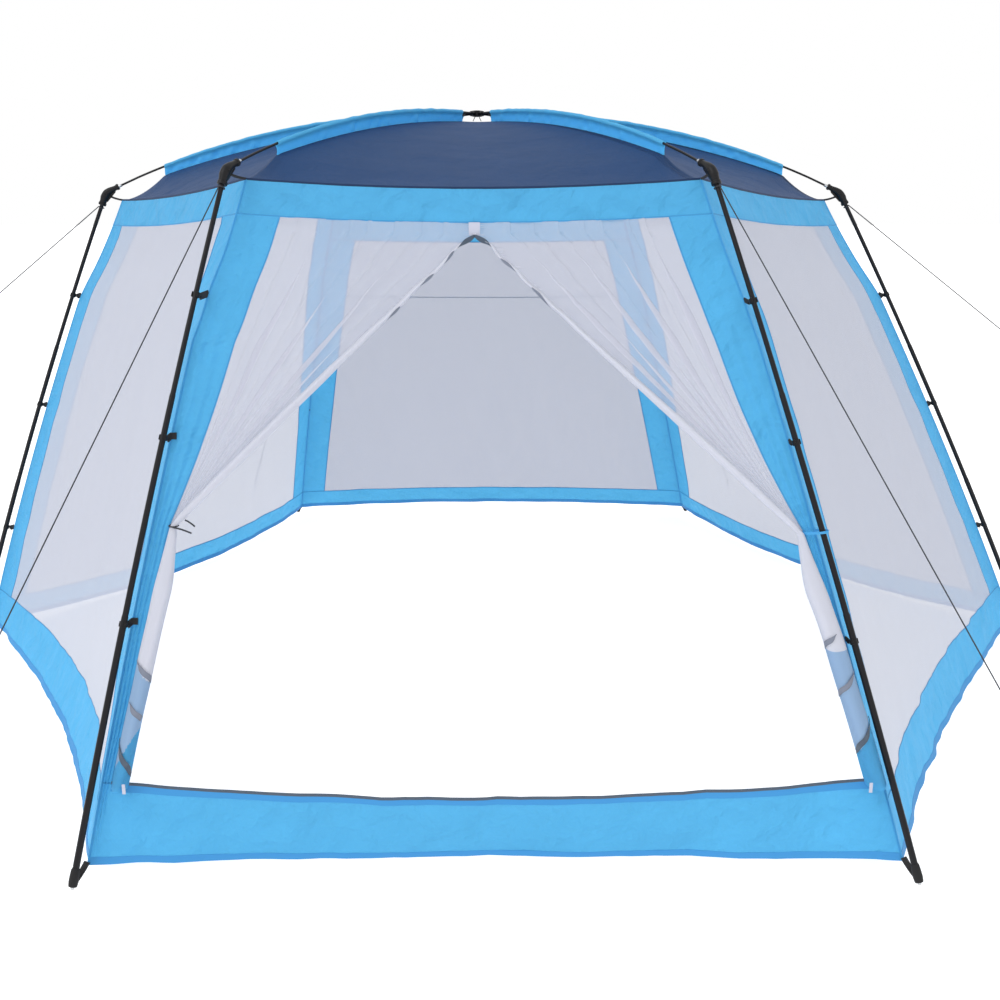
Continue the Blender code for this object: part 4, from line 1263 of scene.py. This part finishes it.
for side in ("left", "right"):
    tail = SILL_ROW - FLAP_TAIL_START
    rows = [HEADER_ROW + (FLAP_TAIL_START - HEADER_ROW) * share for share in steps(FLAP_ROWS)[:-1]]
    rows += [FLAP_TAIL_START + tail * share for share in steps(FLAP_TAIL_ROWS)]
    made_rows = [flap_row(side, row) for row in rows]
    layers = [layer for _, layer in flap_columns(side, HEADER_ROW, 1.0)] + [0.0]
    plain = [FOLDED if layer == after == 2.0 else FLAT for layer, after in zip(layers, layers[1:])]
    plain += [ROLLED] * (len(made_rows[0][0]) - len(plain))
    flap = Pattern()
    flap.grid([points for points, _ in made_rows], [places for _, places in made_rows],
              lambda row, column: flap_finish(side, rows[row], made_rows[row][0][column], plain[column]))
    made_flap = piece(f"flap_net_{side}", flap, FLAP_FINISHES, node=f"door_flap_{side}",
                      sharp=FLAP_SHARP)
    # A flap is cut as wide as half the doorway, and is narrower at its top.
    low, high = [wall_length(FRONT, row) / 2.0 - STRIP_WIDTH for row in (SILL_ROW, HEADER_ROW)]


# The zips.
# The door's zip tape is rolled in along each flap's free edge, so that only slivers of it turn
# into sight there and round the tail. Its other half is sewn along the top of the sill.

ZIP_WIDTH = 0.017
ZIP_THICKNESS = 0.0012
ZIP_SINK = 0.6
# Distances down the free edge, from the zip's top, where each sliver starts and ends.
ZIP_SLIVERS = {"left": ((0.0, 0.073), (0.087, 0.143), (0.195, 0.258), (0.354, 0.420)),
               "right": ((0.0, 0.069), (0.122, 0.190), (0.267, 0.362))}
ZIP_SLIVER_WIDTH = 0.012
ZIP_TOP_WIDTH = 0.020
ZIP_SLIVER_STEPS = 12
ZIP_SLIVER_TURN = 0.12
ZIP_SLIVER_SPIN = 0.14
ZIP_SLIVER_BLUNT = 0.12
ZIP_SLIVER_POINT = 0.08
ZIP_COLOUR = (0.075, 0.105, 0.150)
ZIP_ROUGHNESS = 0.45
ZIP_BACK_COLOUR = (0.170, 0.190, 0.245)
ZIP_BACK_ROUGHNESS = 0.70
ZIP_PITCH = 0.0024
ZIP_DEPTH = 0.0010
SILL_ZIP_WIDTH = 0.009
SILL_ZIP_THICKNESS = 0.00338
SILL_ZIP_RISE = 0.0027
# Each visible turn on the tail has its first and last row, its first and last turn and a finish.
TAIL_TURNS = {"left": ((0.704, 0.735, -0.20, 0.26, 1), (0.762, 0.787, -0.16, 0.20, 1),
                       (0.815, 0.866, -0.27, 0.26, 0)),
              "right": ((0.668, 0.690, -0.06, 0.26, 1), (0.721, 0.758, -0.22, 0.26, 1),
                        (0.789, 0.838, -0.27, 0.26, 0))}
TAIL_TURN_STEPS = 22
TAIL_POINT = 0.1
TAIL_GROWTH = 2.5
ROW_STEP = 0.001

zip_back, _, _ = new_material("zip_back", ZIP_BACK_COLOUR, ZIP_BACK_ROUGHNESS)
zip_tape, zip_tree, zip_shader = new_material("zip_tape", ZIP_COLOUR, ZIP_ROUGHNESS)
zip_place = add_node(zip_tree, "UVMap", uv_map="flat").outputs["UV"]
zip_wave = add_node(zip_tree, "TexWave", {"Vector": zip_place, "Scale": WEAVE_WAVE / ZIP_PITCH},
                    bands_direction="Y")
add_bump(zip_tree, zip_shader, zip_wave.outputs["Fac"], ZIP_DEPTH)


def lay_tape(pattern, path, sides, width, thickness, finish=0):
    """A ribbon with its length laid along the flat cloth, for a pattern that runs along it."""
    run = 0.0
    flats = []
    for index, point in enumerate(path):
        run += (point - path[index - 1]).length if index else 0.0
        flats.append([(across * ZIP_WIDTH, run) for across in (0.0, 1.0, 1.0, 0.0)])
    pattern.loft(ribbon(path, sides, width, thickness), finish, flats=flats)


def wind(pattern, side, rows, turns, width, finish):
    """Lay a tape on a flap's roll. It takes one turn value for each row."""
    path = [roll_point(side, row, turn, roll_surface(side, row, turn) + ZIP_THICKNESS * ZIP_SINK)
            for row, turn in zip(rows, turns)]
    faces = []
    for index, (row, turn) in enumerate(zip(rows, turns)):
        away = path[index] - roll_point(side, row, turn, 0.0)
        faces.append(heading(path, index).cross(away).normalized())
    lay_tape(pattern, path, faces, width, ZIP_THICKNESS, finish)


def row_after(side, far):
    """The row where the free edge has run a distance down from the zip's top."""
    row, gone = FLAP_APEX_ROW, 0.0
    point = free_edge(side, row)
    while gone < far:
        row += ROW_STEP
        following = free_edge(side, row)
        gone += (following - point).length
        point = following
    return row


for side in ("left", "right"):
    zipper = Pattern()
    shares = steps(ZIP_SLIVER_STEPS)
    for number, (first, last) in enumerate(ZIP_SLIVERS[side]):
        top, low = row_after(side, first), row_after(side, last)
        widest = ZIP_SLIVER_WIDTH if number else ZIP_TOP_WIDTH
        swell = [sin(pi * (ZIP_SLIVER_BLUNT + (1.0 - ZIP_SLIVER_BLUNT) * share)) for share in shares]
        wind(zipper, side, [top + (low - top) * share for share in shares],
             [ZIP_SLIVER_TURN + ZIP_SLIVER_SPIN * share for share in shares],
             [widest * max(ZIP_SLIVER_POINT, part) for part in swell], 1 if number else 0)
    shares = steps(TAIL_TURN_STEPS)
    for first, last, start_turn, end_turn, finish in TAIL_TURNS[side]:
        swell = [TAIL_POINT + (1.0 - TAIL_POINT) * smooth_step(share * TAIL_GROWTH) for share in shares]
        wind(zipper, side, [first + (last - first) * share for share in shares],
             [start_turn + (end_turn - start_turn) * share for share in shares],
             [ZIP_WIDTH * part for part in swell], finish)
    piece(f"door_zip_{side}", zipper, [zip_tape, zip_back])

sill_zip = Pattern()
strip = strip_columns(FRONT)
sill_line = [point + UP * SILL_ZIP_RISE for point in across_line(FRONT, SILL_ROW, strip, -strip)]
lay_tape(sill_zip, sill_line, UP, SILL_ZIP_WIDTH, SILL_ZIP_THICKNESS)
piece("sill_zip", sill_zip, [zip_tape])


# The ties and the tabs.
# A cord with two ends ties the left flap, and a light blue tape round the leg ties the right
# one. Plain white tabs close the zip's three corners.

CORD_COLOUR = (0.040, 0.043, 0.050)
TIE_CORD_RADIUS = 0.0022
TIE_END_RADIUS = 0.00286
TIE_RING_SHARE = 1.16
TIE_RING_STEPS = 24
KNOT_TURN = 0.02
KNOT_SHARE = 1.2
# Each loose end has its start beside and above the knot, its run aside and its fall.
TIE_ENDS = ((0.0, 0.0, 0.058, 0.020), (0.040, 0.024, 0.030, 0.022))
TIE_END_LIFT = 0.004
TIE_END_STEPS = 4
TIE_BAND_WIDTH = 0.008
TIE_BAND_THICKNESS = 0.0018
TIE_BAND_RISE = 0.011
TIE_BAND_PAST_LEG = 0.016
TIE_BAND_PAST_FLAP = 0.006
TIE_BAND_SWING = 0.022
TIE_BAND_STEPS = 28
TAB_COLOUR = (0.48, 0.50, 0.60)
TAB_THICKNESS = 0.0025
TOP_TAB_WIDTH, TOP_TAB_LENGTH = 0.038, 0.043
TOP_TAB_LIFT = 0.016
SILL_TAB_WIDTH, SILL_TAB_LENGTH = 0.010, 0.032
SILL_TAB_RISE = 0.0348
SILL_TAB_CLEARANCE = 0.004
SILL_TAB_REACH = 2.2

tab_cloth = grained("white_tape", TAB_COLOUR, size=0.0016, roughness=0.70, spread=0.06, depth=0.0003)
cord_cover = grained("dark_cord", CORD_COLOUR, size=0.0009, roughness=0.75, spread=0.05, depth=0.0003)

left_tie = Pattern()
tie_row = TIE_ROWS["left"]
full = roll_radius("left", tie_row)
ring = [roll_point("left", tie_row, turn, full * TIE_RING_SHARE) for turn in steps(TIE_RING_STEPS)]
left_tie.loft(sweep(ring, TIE_CORD_RADIUS, CORD_SIDES))
knot = roll_point("left", tie_row, KNOT_TURN, full * KNOT_SHARE)
for beside, rise, over, fall in TIE_ENDS:
    loose = [knot + Vector((beside + over * share, -TIE_END_LIFT, rise - fall * share * (0.6 + 0.4 * share)))
             for share in steps(TIE_END_STEPS)]
    left_tie.loft(sweep(loose, TIE_END_RADIUS, CORD_SIDES))
piece("flap_tie_left", left_tie, [cord_cover])

right_tie = Pattern()
tie_row = TIE_ROWS["right"]
tied_corner = CORNERS.index("front_right")
leg_place = on_leg(tied_corner, seam_point(tied_corner, tie_row).z)
flap_place = on_flap("right", tie_row, 0.0)
reach = leg_place - flap_place
far = leg_place + reach.normalized() * TIE_BAND_PAST_LEG + UP * TIE_BAND_RISE
near = flap_place - reach.normalized() * TIE_BAND_PAST_FLAP
swing = reach.cross(UP).normalized() * TIE_BAND_SWING
loop = arc(near.lerp(far, 0.5), (near - far) / 2.0, swing, 1.0, steps(TIE_BAND_STEPS))
right_tie.loft(ribbon(loop, UP, TIE_BAND_WIDTH, TIE_BAND_THICKNESS))
piece("flap_tie_right", right_tie, [trim_cloth])


def sew_tab(pattern, top, width, length, middle):
    """A flat tab that hangs from its top. middle is the share of its length where it bends."""
    path = [top - UP * length * share for share in (0.0, middle, 1.0)]
    pattern.loft(ribbon(path, inward(FRONT).cross(UP), width, TAB_THICKNESS))


tabs = Pattern()
top_tab = cloth_point(FRONT, 0.5, HEADER_ROW) - inward(FRONT) * TOP_TAB_LIFT
sew_tab(tabs, top_tab + Vector((APEX_SHIFT, 0.0, 0.0)), TOP_TAB_WIDTH, TOP_TAB_LENGTH, 0.5)
for side in ("left", "right"):
    away = SILL_TAB_REACH * roll_radius(side, SILL_ROW) + SILL_TAB_CLEARANCE
    sew_tab(tabs, free_edge(side, SILL_ROW) - inward(FRONT) * away + UP * SILL_TAB_RISE,
            SILL_TAB_WIDTH, SILL_TAB_LENGTH, 0.4)
piece("zip_tabs", tabs, [tab_cloth])


# The roof canopy.
# Six gores of dark blue coated polyester, sewn together on the seams under the rods. The
# rods' sleeves hold it up along the seams and it sags between them to a bound eave.

SLEEVE_END = 0.838
FIN_DEPTH = 0.050
FIN_RISE = 0.014
FIN_TAPER = 0.014
SCOOP_POWER = 1.7
GORE_POWER = 1.6
ROOF_COLOUR = (0.024, 0.064, 0.168)
ROOF_CREASE_SIZE = 0.14
BINDING_COLOUR = (0.014, 0.034, 0.090)
ROOF_COLUMNS = 44
ROOF_STATIONS = 44
# Stations run down a seam: 0 at the hub, 1 at the sleeve's end and 2 at the eave's corner.
ROOF_START = 0.06
ROOF_CREASE = 0.0070
GORE_SPACING = 2.0

roof_cloth = woven("navy_cloth", ROOF_COLOUR, roughness=0.58, gloss=0.16, creasing=0.7, depth=0.015,
                   glow=0.16, crease=ROOF_CREASE_SIZE)
binding_cloth = woven("binding_cloth", BINDING_COLOUR, roughness=0.60, gloss=0.20, creasing=0.3, depth=0.003,
                      glow=0.05)


def fin_depth(station):
    """Height of the sleeve's fin, from the rod to the roof's seam."""
    return FIN_DEPTH - FIN_RISE * max(0.0, 1.0 - station) ** 2 - FIN_TAPER * station ** 4


def rib_point(corner, station):
    """The roof's seam under a rod. Past station 1 it scoops down to the eave corner."""
    point = rod_point(corner, min(1.0, station) * SLEEVE_END) - UP * fin_depth(min(1.0, station))
    if station <= 1.0:
        return point
    top, end = point.z, seam_point(corner, 0.0)
    point = point.lerp(end, station - 1.0)
    point.z = end.z + (top - end.z) * (2.0 - station) ** SCOOP_POWER
    return point


def roof_point(wall, across, station):
    """A point on the roof: lower between the ribs than on them, with folds from the seams."""
    point = rib_point(wall, station).lerp(rib_point(wall + 1, station), across)
    middle = 4.0 * across * (1.0 - across)
    eave = seam_point(wall, 0.0).lerp(seam_point(wall + 1, 0.0), across).z - pick(EAVE_SAG, WALLS[wall])
    apex = HUB_HEIGHT - fin_depth(0.0)
    reach = (rib_point(wall, station) - hub_place()).xy.length
    share = reach / (rib_point(wall, 2.0) - hub_place()).xy.length
    valley = apex - (apex - eave) * share ** GORE_POWER
    point.z += (valley - point.z) * middle
    ends = min(1.0, station * 2.0) * min(1.0, (2.0 - station) * 3.0)
    over = (across - 0.5) * reach
    fold = noise.noise(Vector((over * 7.0, reach * 1.6, wall * 5.0)))
    fold += 0.6 * noise.noise(Vector((over * 3.0, reach * 9.0, wall * 9.0)))
    point.z += ROOF_CREASE * fold * min(1.0, middle * 3.0) * ends
    return point


roof = Pattern()
rings = []
for share in steps(ROOF_STATIONS):
    station = ROOF_START + (2.0 - ROOF_START) * share
    ring, places = [], []
    for wall in range(6):
        reach = (rib_point(wall, station) - hub_place()).length
        for across in steps(ROOF_COLUMNS)[:-1]:
            ring.append(roof_point(wall, across, station))
            places.append(((across - 0.5) * reach + wall * GORE_SPACING, reach))
    rings.append(roof.add(ring, places))
centre_point = roof.add([hub_place() - UP * fin_depth(0.0)])[0]
count = len(rings[0])
for step in range(count):
    after = (step + 1) % count
    roof.face((centre_point, rings[0][step], rings[0][after]))
    for first, second in zip(rings, rings[1:]):
        roof.face((first[step], first[after], second[after], second[step]))
made_roof = piece("roof_cloth", roof, [roof_cloth], node="roof_canopy")
roof_radius = (rib_point(1, 2.0) - hub_place()).length


# The eave binding.
# A narrow dark tape bound over the edge of the roof, and round the scoops at its corners.

BINDING_WIDTH = 0.0075
BINDING_THICKNESS = 0.0030
BINDING_STEPS = 60

for wall, name in enumerate(WALLS):
    binding = Pattern()
    edge = [roof_point(wall, across, 2.0) for across in steps(BINDING_STEPS)]
    binding.loft(ribbon(edge, UP, BINDING_WIDTH, BINDING_THICKNESS))
    piece(f"eave_binding_{name}", binding, [binding_cloth])


# The rod sleeves.
# Light blue tunnels of the wall's cloth, which the rods are pushed through. Each stands on
# the roof's seam by a gathered fin and ruffles between the hub and the elbow.

SLEEVE_START = 0.08
SLEEVE_STEPS = 130
SLEEVE_TUNNEL = 0.0088
SLEEVE_PUFF = 0.35
SLEEVE_PUFF_SPACING = 0.05
SLEEVE_RIPPLE = 0.0110
SLEEVE_RIPPLE_SPACING = 0.034
SLEEVE_CREASE_SIZE = 0.040
SLEEVE_SECTION = 10
SLEEVE_SECTION_START = -60.0
SLEEVE_SECTION_SWEEP = 300.0
# The fin's shape gives shares of its depth and of its sway.
FIN_SHAPE = ((0.45, 0.8), (0.75, 1.0), (1.0, 0.0))
HALF_FIN = 0.0018
FIN_LAP = 0.002
# The sleeves are of the walls' light blue cloth, painted lighter than it as painted light on the fins.
SLEEVE_PAINTED_LIGHT_COLOUR = (0.135, 0.620, 1.0)

sleeve_cloth_painted_light = woven("sleeve_cloth_painted_light", SLEEVE_PAINTED_LIGHT_COLOUR, roughness=0.55, gloss=0.30, creasing=1.0, depth=0.016,
                     glow=0.48, crease=SLEEVE_CREASE_SIZE)


def sleeve_loop(corner, fraction):
    """One cross-section of a sleeve: its fin's left face, the tunnel and its fin's right face."""
    centre = rod_point(corner, fraction)
    side = outward(corner).cross(UP)
    run = fraction * (connector(corner) - hub_place()).length
    sway = SLEEVE_RIPPLE * noise.noise(Vector((run / SLEEVE_RIPPLE_SPACING, corner * 4.0, 0.0)))
    puff = 1.0 + SLEEVE_PUFF * noise.noise(Vector((run / SLEEVE_PUFF_SPACING, corner * 4.0, 5.0)))
    depth = fin_depth(fraction / SLEEVE_END) + FIN_LAP
    first, last = [[centre + side * (sway * push + half) - UP * depth * drop for drop, push in FIN_SHAPE]
                   for half in (HALF_FIN, -HALF_FIN)]
    tunnel = []
    for spoke, share in enumerate(steps(SLEEVE_SECTION)):
        turn = (SLEEVE_SECTION_START + SLEEVE_SECTION_SWEEP * share) / 360.0
        radius = SLEEVE_TUNNEL * (puff if abs(spoke - SLEEVE_SECTION // 2) < 4 else 1.0)
        tunnel += arc(centre, side, UP, radius, (turn,))
    return first[::-1] + tunnel + last


for corner, name in enumerate(CORNERS):
    sleeve = Pattern()
    reach = SLEEVE_END - SLEEVE_START
    sleeve.loft([sleeve_loop(corner, SLEEVE_START + reach * share) for share in steps(SLEEVE_STEPS)],
                capped=False, closed=False)
    made_sleeve = piece(f"sleeve_cloth_painted_light_{name}", sleeve, [sleeve_cloth_painted_light],
                        node=f"rod_sleeve_{name}", sharp=FLAP_SHARP)
    straight = (rod_point(corner, SLEEVE_END) - rod_point(corner, SLEEVE_START)).length


# The guy lines.
# Dark taut cords from loops round the tops of the legs to the pegs in the ground, with a
# small black slider on each.

PEG_REACH = {"left": 4.25, "right": 4.25, "others": 3.45}
PEG_PROFILE = ((0.0, 0.0036), (0.036, 0.0036), (0.040, 0.0026))
PEG_SIDES = 12
PEG_TIE_HEIGHT = 0.026
GUY_LOOP_DISTANCE = 0.070
GUY_LOOP_RADIUS = 0.0115
GUY_LOOP_STEPS = 20
GUY_RADIUS = 0.0021
GUY_STEPS = 12
SLIDER_PLACE = 0.80
SLIDER_LENGTH = 0.030
SLIDER_RADIUS = 0.0042
SLIDER_SIDES = 10

for corner, name in enumerate(CORNERS):
    peg = outward(corner) * at_corner(PEG_REACH, corner)
    down = (on_leg(corner, hook_heights(corner)[0]) - connector(corner)).normalized()
    ring_centre = connector(corner) + down * GUY_LOOP_DISTANCE
    side = down.cross(outward(corner)).normalized()
    out = side.cross(down).normalized()
    ring = arc(ring_centre, out, side, GUY_LOOP_RADIUS, steps(GUY_LOOP_STEPS))
    start, end = ring[0], peg + UP * PEG_TIE_HEIGHT
    slider = start.lerp(end, SLIDER_PLACE)
    line = Pattern()
    line.loft(sweep(ring, GUY_RADIUS, CORD_SIDES, down))
    line.loft(sweep([start.lerp(end, share) for share in steps(GUY_STEPS)], GUY_RADIUS, CORD_SIDES))
    line.loft(sweep([slider, slider + (end - start).normalized() * SLIDER_LENGTH], SLIDER_RADIUS,
                    SLIDER_SIDES), 1)
    line.loft(turned([peg + UP * height for height, _ in PEG_PROFILE], PEG_PROFILE, PEG_SIDES), 2)
    piece(f"guy_cord_{name}", line, [cord_cover, plastic, bright_steel], node=f"guy_line_{name}")
